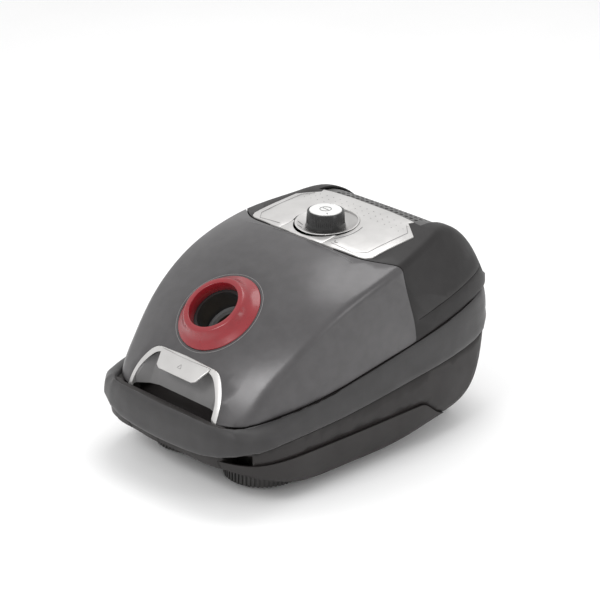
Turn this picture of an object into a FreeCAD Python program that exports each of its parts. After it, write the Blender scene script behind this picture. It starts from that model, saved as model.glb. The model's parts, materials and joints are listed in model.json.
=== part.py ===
import FreeCAD, Part
import math
import os

import Sketcher

from FreeCAD import Placement, Rotation, Vector

# Bagged canister vacuum cleaner.
# Frame: millimetres, +Z up, origin on the floor under the middle of the body.
# The hose inlet and the carry bar face -Y, the exhaust faces +Y and up.

X_AXIS = Vector(1, 0, 0)
Y_AXIS = Vector(0, 1, 0)
Z_AXIS = Vector(0, 0, 1)
ORIGIN = Vector(0, 0, 0)

doc = FreeCAD.newDocument("canister_vacuum")

# ---------------------------------------------------------------- driving dimensions

DIMENSIONS = {
    "shells": {
        "wall_thick": 3.0,
        "seam_gap": 0.4,
        "lid_gap": 2.0,
        "hood_power": 2.6,
        "hood_round": 9.0,
        "rim_slope": 0.1735,
        "rim_level": 142.5,
        "side_gap": 1.0,
        "ring_sections": 56.0,
        "tub_floor_low": 36.0,
        "tub_floor_high": 42.0,
        "lip_level": 62.0,
    },
    "hand slot": {
        "slot_half_width": 97.0,
        "slot_front": 228.0,
        "slot_back": 200.5,
        "slot_corner": 12.0,
        "rail_low": 88.0,
        "rail_high": 108.5,
    },
    "arch": {
        "arch_foot_x": 84.0,
        "arch_foot_z": 98.0,
        "arch_top_z": 162.0,
        "arch_band": 7.5,
        "arch_proud": 0.8,
        "arch_deep": 2.2,
        "grip_thick": 2.5,
    },
    "latch": {
        "latch_pivot_y": -197.3,
        "latch_pivot_z": 158.0,
        "latch_length": 25.0,
        "latch_top_half": 45.0,
        "latch_tip_half": 35.0,
        "latch_plate": 2.6,
        "latch_tilt": 39.0,
        "hook_width": 16.0,
        "hook_thick": 4.0,
    },
    "hose inlet": {
        "inlet_rim_y": -150.7,
        "inlet_rim_z": 219.7,
        "inlet_tilt": 35.25,
        "inlet_bore": 34.8,
        "inlet_rim_radius": 41.0,
        "inlet_flange": 58.0,
        "inlet_hole": 50.0,
        "inlet_neck": 38.5,
        "tube_outer": 36.2,
        "tube_inner": 31.0,
        "seal_inner": 24.0,
        "collar_thick": 3.0,
        "collar_size": 96.0,
    },
    "knob": {
        "knob_y": 46.5,
        "knob_top": 296.4,
        "knob_radius": 24.3,
        "knob_base_radius": 26.8,
        "knob_bottom": 272.0,
        "button_radius": 21.5,
        "stem_radius": 5.0,
        "dish_radius": 44.5,
        "dish_floor_radius": 30.0,
        "dish_floor": 270.0,
        "dish_thick": 2.0,
        "strip_half_width": 39.0,
        "switch_radius": 15.0,
        "switch_high": 16.0,
    },
    "panel": {
        "panel_corner_x": 105.0,
        "panel_half_width": 110.0,
        "panel_bevel_y": 97.5,
        "panel_notch_x": 80.0,
        "panel_notch_y": 117.5,
        "panel_tip_x": 84.0,
        "panel_tip_y": 125.0,
        "panel_proud": 1.2,
        "panel_deep": 2.6,
    },
    "exhaust": {
        "cover_front": 126.5,
        "cover_rear": 203.0,
        "cover_half_width": 94.0,
        "cover_sink": 5.0,
        "cover_thick": 3.0,
        "cover_frame": 9.0,
        "mesh_hole": 2.6,
        "mesh_pitch": 9.0,
        "hepa_length": 150.0,
        "hepa_width": 50.0,
        "hepa_high": 26.0,
        "hepa_wall": 3.0,
        "hepa_y": 162.0,
        "hepa_z": 208.0,
        "pleat_pitch": 6.0,
        "pleat_thick": 0.9,
    },
    "motor": {
        "motor_x": -62.0,
        "motor_z": 118.0,
        "shroud_radius": 58.0,
        "shroud_length": 42.0,
        "shroud_wall": 1.2,
        "stator_outer": 40.0,
        "stator_inner": 24.0,
        "armature_radius": 22.0,
        "shaft_radius": 4.0,
        "shaft_length": 98.0,
        "impeller_radius": 52.0,
        "impeller_blades": 9.0,
        "bearing_radius": 11.0,
        "capsule_radius": 68.0,
        "capsule_wall": 2.5,
        "capsule_length": 104.0,
        "brush_long": 12.0,
    },
    "cord drum": {
        "drum_x": 72.0,
        "drum_y": 116.0,
        "drum_z": 122.0,
        "drum_radius": 64.0,
        "drum_core": 30.0,
        "drum_width": 52.0,
        "drum_flange": 2.5,
        "axle_radius": 6.0,
        "spring_radius": 40.0,
        "spring_wide": 12.0,
        "lever_long": 46.0,
        "lever_thick": 5.0,
        "lever_wide": 10.0,
    },
    "dust side": {
        "partition_y": 30.0,
        "partition_thick": 3.0,
        "filter_half_width": 70.0,
        "filter_low": 60.0,
        "filter_high": 172.0,
        "filter_thick": 5.0,
        "filter_rim": 5.0,
        "bag_long": 150.0,
        "bag_wide": 210.0,
        "bag_high": 104.0,
        "bag_corner": 24.0,
        "bag_y": -72.0,
        "bag_z": 46.0,
    },
    "casters": {
        "front_caster_x": 66.5,
        "front_caster_y": -129.0,
        "front_disc_radius": 51.0,
        "front_disc_low": 4.0,
        "front_disc_high": 31.0,
        "rib_count": 56.0,
        "rib_deep": 1.6,
        "front_wheel_radius": 13.5,
        "front_wheel_width": 16.0,
        "front_trail": 22.0,
        "caster_stem": 8.0,
        "rear_caster_x": 97.0,
        "rear_caster_y": 160.0,
        "rear_wheel_radius": 16.5,
        "rear_wheel_width": 14.0,
        "rear_trail": 12.0,
        "fork_radius": 19.0,
        "turret_radius": 23.0,
        "fork_low": 35.5,
        "fork_high": 41.5,
        "fork_cheek": 3.0,
        "caster_axle": 2.5,
    },
    "hinge": {
        "hinge_y": 56.0,
        "hinge_z": 254.0,
        "hinge_x": 131.0,
        "hinge_pin": 2.5,
        "hinge_boss": 5.0,
        "hinge_arm": 6.0,
    },
}

# Hood: outer form of the lid and the rear housing, as stations from nose to tail.
# Each row: y, half width at the rim, shoulder x, shoulder z, crown z.
HOOD_STATIONS = {
    "nose": (-223.0, 84.0, 80.0, 106.5, 128.5),
    "brow": (-214.0, 106.5, 102.5, 109.5, 140.5),
    "corner": (-204.5, 118.5, 114.0, 117.5, 151.5),
    "cheek": (-178.5, 130.5, 125.5, 147.0, 179.0),
    "inlet": (-153.5, 139.0, 133.0, 172.0, 200.0),
    "throat": (-128.5, 145.3, 139.0, 193.5, 217.5),
    "fore": (-102.5, 149.7, 143.3, 211.5, 232.5),
    "waist": (-60.0, 153.0, 148.0, 233.0, 253.5),
    "middle": (-4.5, 154.5, 149.5, 250.5, 270.5),
    "split": (37.5, 154.7, 146.0, 260.0, 276.5),
    "flank": (70.0, 154.0, 139.0, 265.5, 279.5),
    "deck": (108.5, 151.8, 127.5, 271.5, 282.0),
    "shoulder": (146.0, 147.5, 116.0, 275.5, 281.0),
    "slope": (172.0, 142.7, 110.5, 268.0, 270.5),
    "back": (196.5, 136.5, 107.5, 250.5, 252.5),
    "seat": (219.0, 126.5, 105.0, 220.5, 222.0),
    "tail": (238.0, 110.0, 101.0, 188.0, 189.0),
}
HOOD_FIELDS = ("y", "half_width", "shoulder_x", "shoulder_z", "crown_z")

# Bumper: rubber band round the body, as stations from the front middle to the rear middle.
# Each row: outer x, outer y, inner x, inner y, low z, top z.
BUMPER_STATIONS = {
    "bow": (0.0, -249.5, 0.0, -240.0, 65.0, 111.5),
    "bow_side": (55.0, -247.0, 55.0, -238.0, 65.5, 111.5),
    "bow_end": (96.0, -241.0, 92.0, -234.0, 69.0, 110.8),
    "front_turn": (124.0, -231.0, 109.0, -224.5, 75.5, 109.3),
    "front_corner": (144.5, -213.0, 118.0, -209.5, 80.0, 108.0),
    "front_flank": (153.0, -189.0, 124.8, -190.0, 83.5, 109.8),
    "front_side": (156.0, -160.0, 136.5, -161.0, 86.0, 114.8),
    "fore_side": (158.0, -118.0, 148.8, -118.0, 88.0, 122.2),
    "waist_side": (159.5, -60.0, 153.8, -60.0, 91.5, 132.0),
    "middle_side": (160.0, 0.0, 155.0, 0.0, 97.5, 142.5),
    "split_side": (160.0, 60.0, 154.8, 60.0, 104.0, 153.0),
    "rear_side": (158.0, 118.0, 152.0, 118.0, 109.5, 163.0),
    "rear_flank": (152.0, 168.0, 144.4, 167.0, 115.0, 171.5),
    "rear_corner": (138.0, 211.0, 131.0, 206.0, 121.0, 178.5),
    "rear_turn": (108.0, 238.0, 104.0, 231.0, 125.0, 183.0),
    "stern_side": (58.0, 247.5, 57.0, 240.5, 126.5, 185.0),
    "stern": (0.0, 249.5, 0.0, 242.5, 127.0, 185.5),
}
BUMPER_FIELDS = ("outer_x", "outer_y", "inner_x", "inner_y", "low_z", "top_z")

# Underside seen from the side: y, z from bow to stern.
KEEL = {
    "chin": (-247.0, 56.0),
    "bow": (-228.0, 52.0),
    "fore": (-196.0, 41.0),
    "step": (-165.0, 30.0),
    "flat_front": (-128.0, 20.0),
    "flat": (-60.0, 17.5),
    "flat_rear": (20.0, 17.5),
    "rise": (65.0, 25.0),
    "rear": (107.0, 33.0),
    "stern_low": (140.0, 37.0),
    "stern": (171.0, 52.0),
    "stern_high": (193.0, 86.0),
    "stern_top": (210.0, 128.0),
    "stern_end": (222.0, 170.0),
}
KEEL_FIELDS = ("y", "z")

sheet = doc.addObject("Spreadsheet::Sheet", "dims")


def fill_sheet():
    """Write every driving dimension in its own cell, with its name as the alias."""
    rows = []
    for section, values in DIMENSIONS.items():
        rows.append((section, None))
        rows.extend(values.items())
    tables = (("hood", HOOD_STATIONS, HOOD_FIELDS),
              ("bumper", BUMPER_STATIONS, BUMPER_FIELDS),
              ("keel", KEEL, KEEL_FIELDS))
    for table, stations, fields in tables:
        rows.append((table + " stations", None))
        for station, values in stations.items():
            for field, value in zip(fields, values):
                rows.append(("_".join((table, station, field)), value))
    for row, (name, value) in enumerate(rows, start=1):
        sheet.set("A%d" % row, name)
        if value is not None:
            sheet.set("B%d" % row, str(value))
            sheet.setAlias("B%d" % row, name)
    doc.recompute()


def size(name):
    """Value of a named cell of the sheet."""
    return float(getattr(sheet, name))


def station_rows(table, stations, fields):
    """The sheet's rows of a station table, as a list of dictionaries."""
    rows = []
    for station in stations:
        rows.append({field: size("_".join((table, station, field))) for field in fields})
    return rows


fill_sheet()

PARTS = {}


def keep(name, item):
    """Give a finished sub-part its node name."""
    item.Label = name
    PARTS[name] = item
    return item


def freeform(name, shape, placement=None):
    """A sub-part whose shape no parametric feature can make."""
    item = doc.addObject("Part::Feature", name)
    item.Shape = shape
    if placement is not None:
        item.Placement = placement
    return keep(name, item)


def cells(text):
    """Turn the names in a short expression into references to the sheet's cells."""
    words = str(text).split()
    return " ".join("dims." + word if word[0].isalpha() else word for word in words)


def block(name, low, dims_xyz):
    """Box from its low corner and its three sizes, all sheet expressions."""
    item = doc.addObject("Part::Box", name)
    for key, text in zip(("Length", "Width", "Height"), dims_xyz):
        item.setExpression(key, cells(text))
    for key, text in zip("xyz", low):
        item.setExpression("Placement.Base." + key, cells(text))
    return item


def rod(name, base, radius, length, axis=Z_AXIS):
    """Cylinder from the middle of its base, along axis, all sheet expressions."""
    item = doc.addObject("Part::Cylinder", name)
    item.setExpression("Radius", cells(radius))
    item.setExpression("Height", cells(length))
    item.Placement = Placement(ORIGIN, Rotation(Z_AXIS, axis))
    for key, text in zip("xyz", base):
        item.setExpression("Placement.Base." + key, cells(text))
    return item


def cut(name, base, tool):
    item = doc.addObject("Part::Cut", name)
    item.Base = base
    item.Tool = tool
    return item


def fuse(name, *items):
    item = doc.addObject("Part::MultiFuse", name)
    item.Shapes = list(items)
    return item


def origin_plane(body, role):
    """One of a body's own origin planes or axes."""
    for feature in body.Origin.OriginFeatures:
        if feature.Role == role:
            return feature
    raise ValueError("no origin feature " + role)


def outline_sketch(body, name, points, role="XY_Plane"):
    """Closed outline of straight lines whose corners are bound to sheet expressions."""
    sketch = body.newObject("Sketcher::SketchObject", name)
    sketch.AttachmentSupport = [(origin_plane(body, role), "")]
    sketch.MapMode = "FlatFace"
    doc.recompute()
    places = [[sheet_value(text) for text in point] for point in points]
    count = len(places)
    for index in range(count):
        start = Vector(places[index][0], places[index][1], 0)
        end = Vector(places[(index + 1) % count][0], places[(index + 1) % count][1], 0)
        sketch.addGeometry(Part.LineSegment(start, end), False)
    for index in range(count):
        sketch.addConstraint(Sketcher.Constraint("Coincident", index, 2, (index + 1) % count, 1))
    for index, point in enumerate(points):
        for kind, text, value in zip(("DistanceX", "DistanceY"), point, places[index]):
            if abs(value) < 1e-9:
                axis = -2 if kind == "DistanceX" else -1
                sketch.addConstraint(Sketcher.Constraint("PointOnObject", index, 1, axis))
            else:
                number = sketch.addConstraint(
                    Sketcher.Constraint(kind, -1, 1, index, 1, value))
                sketch.setExpression("Constraints[%d]" % number, cells(text))
    return sketch


def sheet_value(text):
    """Number of a short expression: cell names and numbers joined by + - * / and spaces."""
    total = 0.0
    term = None
    sign = 1.0
    divide = False
    for word in str(text).split():
        if word in ("+", "-"):
            total += sign * (term or 0.0)
            term = None
            sign = 1.0 if word == "+" else -1.0
        elif word in ("*", "/"):
            divide = word == "/"
        else:
            value = size(word) if word[0].isalpha() else float(word)
            if term is None:
                term = value
            elif divide:
                term /= value
            else:
                term *= value
    return total + sign * term


def turned(name, profile, placement=None):
    """Solid of revolution about its own Z: profile corners are (radius, height) expressions."""
    body = doc.addObject("PartDesign::Body", name)
    sketch = outline_sketch(body, name + "_profile", profile, "XZ_Plane")
    turn = body.newObject("PartDesign::Revolution", name + "_turn")
    turn.Profile = (sketch, [""])
    turn.ReferenceAxis = (sketch, ["V_Axis"])
    turn.Angle = 360
    if placement is not None:
        body.Placement = placement
    return body


def padded(name, outline, height, placement=None):
    """Plate with a straight-sided outline, padded upwards from its own XY plane."""
    body = doc.addObject("PartDesign::Body", name)
    sketch = outline_sketch(body, name + "_outline", outline)
    pad = body.newObject("PartDesign::Pad", name + "_pad")
    pad.Profile = (sketch, [""])
    pad.setExpression("Length", cells(height))
    if placement is not None:
        body.Placement = placement
    return body


# ---------------------------------------------------------------- forms of the body

HOOD_ROWS = station_rows("hood", HOOD_STATIONS, HOOD_FIELDS)
BUMPER_ROWS = station_rows("bumper", BUMPER_STATIONS, BUMPER_FIELDS)
KEEL_ROWS = station_rows("keel", KEEL, KEEL_FIELDS)
WALL = size("wall_thick")
GAP = size("seam_gap")
FAR = 400.0


def spline(points):
    """Smooth edge through points."""
    curve = Part.BSplineCurve()
    curve.interpolate(points)
    return curve.toShape()


def mirrored_x(shape):
    return shape.mirror(ORIGIN, X_AXIS)


def rim_height(y):
    """Height of the sloping joint between the hood and the lower body."""
    return size("rim_level") + size("rim_slope") * y


def hood_section(row, offset, drop):
    """Cross-section of the hood at a station, moved outwards by offset: top, rounded edges, sides."""
    y = row["y"]
    half = row["half_width"] + offset
    shoulder_x = row["shoulder_x"] + 0.75 * offset
    shoulder_z = row["shoulder_z"] + 0.75 * offset
    crown = row["crown_z"] + offset
    floor = rim_height(y) - drop
    sag = crown - shoulder_z
    side_high = shoulder_z - floor
    rounding = min(size("hood_round"), 0.4 * (shoulder_z - rim_height(y)) + 0.6)
    shares = [0.0, 0.3, 0.55, 0.75, 0.9, 1.0 - rounding / shoulder_x]
    top = [Vector(share * shoulder_x, y, crown - sag * share ** size("hood_power")) for share in shares]
    side = []
    for share in (0.0, 0.3, 0.65, 1.0):
        level = rounding / side_high + share * (1.0 - rounding / side_high)
        across = shoulder_x + (half - shoulder_x) * (1 - (1 - level) ** 1.7)
        side.append(Vector(across, y, shoulder_z - side_high * level))
    edge = Part.BezierCurve()
    edge.setPoles([top[-1], Vector(shoulder_x, y, shoulder_z), side[0]])
    half_line = [spline(top), edge.toShape(), spline(side)]
    mirrored = [mirrored_x(part) for part in half_line]
    base = Part.makeLine(side[-1], Vector(-side[-1].x, y, floor))
    return Part.Wire(Part.__sortEdges__(half_line + mirrored + [base]))


def hood(offset=0.0, drop=0.0):
    """Solid of the hood's outer form, moved outwards by offset and deepened by drop."""
    rows = [dict(row) for row in HOOD_ROWS]
    rows[0]["y"] -= offset
    rows[-1]["y"] += offset
    return Part.makeLoft([hood_section(row, offset, drop) for row in rows], True, False)


def plan_wire(inset, z, front_extra=0.0):
    """Outline of the body seen from above, moved inwards by inset, at height z."""
    points = []
    rows = BUMPER_ROWS
    for index, row in enumerate(rows):
        before = rows[max(index - 1, 0)]
        after = rows[min(index + 1, len(rows) - 1)]
        along = Vector(after["outer_x"] - before["outer_x"], after["outer_y"] - before["outer_y"], 0)
        if index == 0 or index == len(rows) - 1:
            along = Vector(1 if index == 0 else -1, 0, 0)
        along.normalize()
        inwards = Vector(-along.y, along.x, 0)
        fore = max(0.0, min(1.0, (-170.0 - row["outer_y"]) / 60.0))
        shift = inset + front_extra * fore
        point = Vector(row["outer_x"], row["outer_y"], z) + inwards * shift
        points.append(point)
    mirror = [Vector(-point.x, point.y, point.z) for point in reversed(points[1:-1])]
    curve = Part.BSplineCurve()
    curve.interpolate(points + mirror, PeriodicFlag=True)
    return Part.Wire([curve.toShape()])


def inner_plan_points(inset):
    """Corners of the bumper's inner outline, moved inwards by inset."""
    rows = BUMPER_ROWS
    points = []
    for index, row in enumerate(rows):
        before = rows[max(index - 1, 0)]
        after = rows[min(index + 1, len(rows) - 1)]
        along = Vector(after["inner_x"] - before["inner_x"], after["inner_y"] - before["inner_y"], 0)
        if index == 0 or index == len(rows) - 1:
            along = Vector(1 if index == 0 else -1, 0, 0)
        along.normalize()
        inwards = Vector(-along.y, along.x, 0)
        points.append(Vector(row["inner_x"], row["inner_y"], 0) + inwards * inset)
    return points


def inner_plan_wire(inset, z):
    points = [Vector(point.x, point.y, z) for point in inner_plan_points(inset)]
    mirror = [Vector(-point.x, point.y, point.z) for point in reversed(points[1:-1])]
    curve = Part.BSplineCurve()
    curve.interpolate(points + mirror, PeriodicFlag=True)
    return Part.Wire([curve.toShape()])


def upright(wire, height):
    """Solid prism on a flat closed wire."""
    return Part.Face(wire).extrude(Vector(0, 0, height))


def side_prism(points, closed_by):
    """Region of the side view bounded by a smooth line and straight closing corners."""
    line = spline([Vector(-FAR / 2, y, z) for y, z in points])
    corners = [Vector(-FAR / 2, y, z) for y, z in closed_by]
    path = [Vector(-FAR / 2, *points[-1])] + corners + [Vector(-FAR / 2, *points[0])]
    wire = Part.Wire([line] + Part.makePolygon(path).Edges)
    return Part.Face(wire).extrude(Vector(FAR, 0, 0))


def front_prism(points, y_from, y_to):
    """Region of the front view: right half line from foot to top, mirrored, closed below."""
    right = [Vector(x, y_from, z) for x, z in points]
    left = [Vector(-x, y_from, z) for x, z in reversed(points)]
    line = spline(right + left[1:] if points[-1][0] == 0 else right + left)
    base = Part.makeLine(left[-1], right[0])
    return Part.Face(Part.Wire([line, base])).extrude(Vector(0, y_to - y_from, 0))


def below_rim(extra):
    """Everything below the sloping joint, raised by extra."""
    points = [(-FAR, rim_height(-FAR) + extra), (FAR, rim_height(FAR) + extra)]
    corners = [Vector(-FAR / 2, y, z) for y, z in points + [(FAR, -FAR), (-FAR, -FAR)]]
    wire = Part.makePolygon(corners + corners[:1])
    return Part.Face(wire).extrude(Vector(FAR, 0, 0))


def above_keel(lift):
    """Everything above the underside's line, raised by lift."""
    points = [(row["y"], row["z"] + lift) for row in KEEL_ROWS]
    return side_prism(points, [(FAR, points[-1][1]), (FAR, FAR), (-FAR, FAR), (-FAR, points[0][1])])


def box(x0, x1, y0, y1, z0, z1):
    return Part.makeBox(x1 - x0, y1 - y0, z1 - z0, Vector(x0, y0, z0))


def rounded_prism(x_half, y0, y1, z0, z1, corner):
    """Upright prism with rounded plan corners."""
    prism = box(-x_half, x_half, y0, y1, z0, z1)
    edges = [edge for edge in prism.Edges if abs(edge.tangentAt(edge.FirstParameter).z) > 0.9]
    return prism.makeFillet(corner, edges)


# ---------------------------------------------------------------- bumper, tub and belly pan

def bumper_section(row, clearance):
    """Closed section of the rubber band, from its bottom round the outer face to the top."""
    outer = Vector(row["outer_x"], row["outer_y"], 0)
    inner = Vector(row["inner_x"], row["inner_y"], 0)
    across = inner - outer
    width = across.Length
    across.normalize()
    low = row["low_z"] - clearance
    high = row["top_z"]
    waist = row["low_z"] + 0.34 * (high - row["low_z"])
    reach = width + clearance
    points = [(1.8, low), (0.5, low + 2.2), (0.0, waist)]
    for angle in (22.5, 45.0, 67.5, 90.0):
        turn = math.radians(angle)
        points.append((width * (1 - math.cos(turn)), waist + (high - waist) * math.sin(turn)))
    places = [outer + across * shift + Z_AXIS * z for shift, z in points]
    skin = spline(places)
    top_inner = outer + across * reach + Z_AXIS * high
    low_inner = outer + across * reach + Z_AXIS * low
    corners = [places[-1], top_inner, low_inner, places[0]]
    if clearance == 0:
        corners = [places[-1], low_inner, places[0]]
    return Part.Wire([skin] + Part.makePolygon(corners).Edges)


def ring_rows():
    """Evenly spaced stations round the whole body, smoothed through the bumper stations."""
    mirrored = [dict(row, outer_x=-row["outer_x"], inner_x=-row["inner_x"])
                for row in reversed(BUMPER_ROWS[1:-1])]
    rows = BUMPER_ROWS + mirrored
    outer = [Vector(row["outer_x"], row["outer_y"], row["low_z"]) for row in rows]
    inner = [Vector(row["inner_x"], row["inner_y"], row["top_z"]) for row in rows]
    lengths = [0.0]
    for here, following in zip(outer, outer[1:] + outer[:1]):
        lengths.append(lengths[-1] + (following - here).Length)
    outer_line = Part.BSplineCurve()
    outer_line.interpolate(Points=outer, PeriodicFlag=True, Parameters=lengths)
    inner_line = Part.BSplineCurve()
    inner_line.interpolate(Points=inner, PeriodicFlag=True, Parameters=lengths)
    count = int(size("ring_sections"))
    stations = []
    for index in range(count):
        place = lengths[-1] * index / count
        out = outer_line.value(place)
        back = inner_line.value(place)
        stations.append({"outer_x": out.x, "outer_y": out.y, "low_z": out.z,
                         "inner_x": back.x, "inner_y": back.y, "top_z": back.z})
    return stations


def bumper_form(clearance=0.0):
    """Rubber band round the body; a clearance widens it inwards and downwards."""
    stations = ring_rows()
    half_count = len(stations) // 2
    right = stations[-1:] + stations[:half_count + 2]
    sections = [bumper_section(row, clearance) for row in right]
    half = Part.makeLoft(sections, True, True).common(box(0, FAR, -FAR, FAR, 0, FAR))
    return half.fuse(mirrored_x(half)).removeSplitter()


def groove_line(lift):
    """Side view line of the bumper's lower edge, raised by lift, front to rear."""
    rows = [row for row in BUMPER_ROWS if row["outer_y"] > -245.0]
    return [(row["outer_y"], row["low_z"] + lift) for row in rows]


def under_groove(lift):
    points = [(-FAR, groove_line(lift)[0][1])] + groove_line(lift) + [(FAR, groove_line(lift)[-1][1])]
    corners = points + [(FAR, -FAR), (-FAR, -FAR)]
    path = [Vector(-FAR / 2, y, z) for y, z in corners]
    return Part.Face(Part.makePolygon(path + path[:1])).extrude(Vector(FAR, 0, 0))


def lower_form(extra):
    """Tapered form of the body below the bumper, moved inwards by extra."""
    levels = ((16.0, 15.0), (30.0, 8.5), (45.0, 5.0), (62.0, 3.2), (95.0, 3.0), (140.0, 3.0))
    wires = [plan_wire(inset + extra, z, 8.0) for z, inset in levels]
    return Part.makeLoft(wires, True, False)


def pan_form(extra):
    """Tapered form of the belly pan, moved inwards by extra."""
    levels = ((16.0, 12.5), (30.0, 6.0), (45.0, 2.4), (56.0, 0.9), (66.0, 0.5), (90.0, 0.5))
    wires = [plan_wire(inset + extra, z, 9.0) for z, inset in levels]
    return Part.makeLoft(wires, True, False)


def under_lip(lift):
    """Side view region of the belly pan: flat lip, then an S-curve down to the rear."""
    lip = size("lip_level") + lift
    points = [(66.0, lip - 0.3), (76.0, lip - 3.0), (86.0, lip - 10.0), (97.0, lip - 19.0),
              (108.0, lip - 25.5), (122.0, lip - 29.0)]
    curve = spline([Vector(-FAR / 2, y, z) for y, z in points])
    path = [(122.0, lip - 29.0), (122.0, 0.0), (-FAR, 0.0), (-FAR, lip), (40.0, lip), (66.0, lip - 0.3)]
    wire = Part.Wire([curve] + Part.makePolygon([Vector(-FAR / 2, y, z) for y, z in path]).Edges)
    return Part.Face(wire).extrude(Vector(FAR, 0, 0))


def slot_form(grow=0.0):
    """Upright hole behind the carry bar for the fingers."""
    return rounded_prism(size("slot_half_width") + grow, -size("slot_front") - grow,
                         -size("slot_back") + grow, 20.0, 130.0, size("slot_corner") + grow)


FRONT_CASTERS = [Vector(side * size("front_caster_x"), size("front_caster_y"), 0) for side in (-1, 1)]
REAR_CASTERS = [Vector(side * size("rear_caster_x"), size("rear_caster_y"), 0) for side in (-1, 1)]
SCREW_SPOTS = [Vector(x, y, 0) for x in (-126.0, 126.0) for y in (-52.0, 24.0)]
RUNNING_FIT = 0.05


def belly_pan():
    """Lower shell under the tub with its proud lip."""
    outer = pan_form(0.0).common(above_keel(0.0)).common(under_lip(0.0))
    inner = pan_form(WALL).common(above_keel(WALL))
    shell = outer.cut(inner).cut(slot_form())
    for place in FRONT_CASTERS:
        shell = shell.cut(Part.makeCylinder(size("front_disc_radius") + 2.0, 40.0, place))
    for place in SCREW_SPOTS:
        shell = shell.cut(Part.makeCylinder(2.0, 40.0, place))
    return shell


def chassis_tub():
    """Lower body: dust chamber in front, motor bay behind, one moulding."""
    floor_low = size("tub_floor_low")
    floor_high = size("tub_floor_high")
    skin = lower_form(0.0).common(above_keel(0.0)).common(under_groove(8.0))
    pan_zone = pan_form(-GAP).common(under_lip(GAP))
    skin = skin.cut(pan_zone)
    core = pan_form(WALL + GAP).common(above_keel(WALL + GAP))
    core = core.common(box(-200, 200, -236, 112, floor_low, 70))
    upper = upright(inner_plan_wire(1.0, 50.0), 200.0).common(below_rim(-size("side_gap")))
    upper = upper.common(above_keel(0.0))
    body = skin.fuse([core, upper]).cut(bumper_form(0.5))
    front = box(-200, 200, -260, -size("slot_back"), size("rail_low"), 300)
    body = body.cut(front)
    lower_room = lower_form(WALL).common(under_groove(-WALL - 0.3)).common(above_keel(WALL))
    lower_room = lower_room.cut(pan_form(-0.2).common(under_lip(WALL + GAP)))
    core_room = pan_form(2 * WALL + GAP).common(box(-200, 200, -236, 140, floor_high, 72))
    core_room = core_room.common(above_keel(WALL))
    upper_room = upright(inner_plan_wire(1.0 + WALL, 50.0), 200.0).common(above_keel(WALL))
    room = lower_room.fuse([core_room, upper_room])
    chamber_front = -size("slot_back") + WALL
    room = room.common(box(-200, 200, chamber_front, 300, floor_high, 300))
    body = body.cut(room).cut(slot_form())
    for side in (-1, 1):
        pocket = box(min(side * 101, side * 136), max(side * 101, side * 136), -232, -204, 20, 76)
        body = body.cut(pocket)
    turret_low = size("fork_low") + 1.0
    turret_top = size("fork_high") + 19.0
    for place in REAR_CASTERS:
        turret = Part.makeCylinder(size("turret_radius"), turret_top - turret_low,
                                   place + Z_AXIS * turret_low)
        pocket = Part.makeCylinder(size("fork_radius") + 1.0, size("fork_high") + 0.4,
                                   place)
        socket = Part.makeCylinder(size("caster_stem"), 15.5, place + Z_AXIS * size("fork_high"))
        body = body.fuse(turret).cut(pocket).cut(socket)
    capsule_room = Part.makeCylinder(size("capsule_radius") + 1.2, 112.0,
                                     Vector(size("motor_x"), 45.0, size("motor_z")), Y_AXIS)
    drum_room = Part.makeCylinder(size("drum_radius") + 2.0, size("drum_width") + 6.0,
                                  Vector(size("drum_x") - size("drum_width") / 2 - 3.0,
                                         size("drum_y"), size("drum_z")), X_AXIS)
    inside = box(-200, 200, 0, 300, floor_high, 300)
    body = body.cut(capsule_room.fuse(drum_room).common(inside))
    for place in SCREW_SPOTS:
        body = body.fuse(Part.makeCylinder(5.0, 20.0, place + Z_AXIS * 20.9))
        body = body.cut(Part.makeCylinder(1.9, 22.0, place + Z_AXIS * 20.0))
    for place in FRONT_CASTERS:
        body = body.cut(Part.makeCylinder(size("caster_stem"), 20.0, place + Z_AXIS * 30.0))
    pan_shell_zone = pan_zone.cut(pan_form(WALL + GAP).common(above_keel(WALL + GAP)))
    return body.cut(pan_shell_zone).removeSplitter()


def carry_rail():
    """Hard inner rail of the carry bar, on top of the tub's nose."""
    rail = upright(inner_plan_wire(0.6, size("rail_low") + 0.3), size("rail_high") - size("rail_low"))
    rail = rail.common(box(-200, 200, -260, -size("slot_back") - 0.3, 0, 300))
    rail = rail.cut(box(-200, 200, -225.5, 0, rim_height(-225.5) - 0.5, 300))
    rail = rail.cut(slot_form()).cut(bumper_form(0.3))
    return rail.removeSplitter()


# ---------------------------------------------------------------- lid and what rides on it

INLET_TURN = Rotation(X_AXIS, size("inlet_tilt"))
INLET_RIM = Vector(0, size("inlet_rim_y"), size("inlet_rim_z"))
INLET_AXIS = INLET_TURN.multVec(Z_AXIS)
INLET_DROP = 80.0
INLET_PLACE = Placement(INLET_RIM - INLET_AXIS * INLET_DROP, INLET_TURN)


def split_region(lead, rear_side):
    """Plan region in front of (or behind) the lid's rear edge, moved forwards by lead."""
    half_line = [(0, -0.5), (55, 2.5), (105, 12.5), (128, 27.0), (141, 37.0),
                 (147, 43.0), (151.5, 53.0), (154.5, 62.0), (158, 68.0)]
    right = [Vector(x, y - lead, 0) for x, y in half_line]
    left = [Vector(-point.x, point.y, 0) for point in reversed(right[1:])]
    line = spline(left + right)
    end = FAR if rear_side else -FAR
    path = [right[-1], Vector(FAR, right[-1].y, 0), Vector(FAR, end, 0),
            Vector(-FAR, end, 0), Vector(-FAR, left[0].y, 0), left[0]]
    wire = Part.Wire([line] + Part.makePolygon(path).Edges)
    return Part.Face(wire).extrude(Vector(0, 0, FAR))


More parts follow.
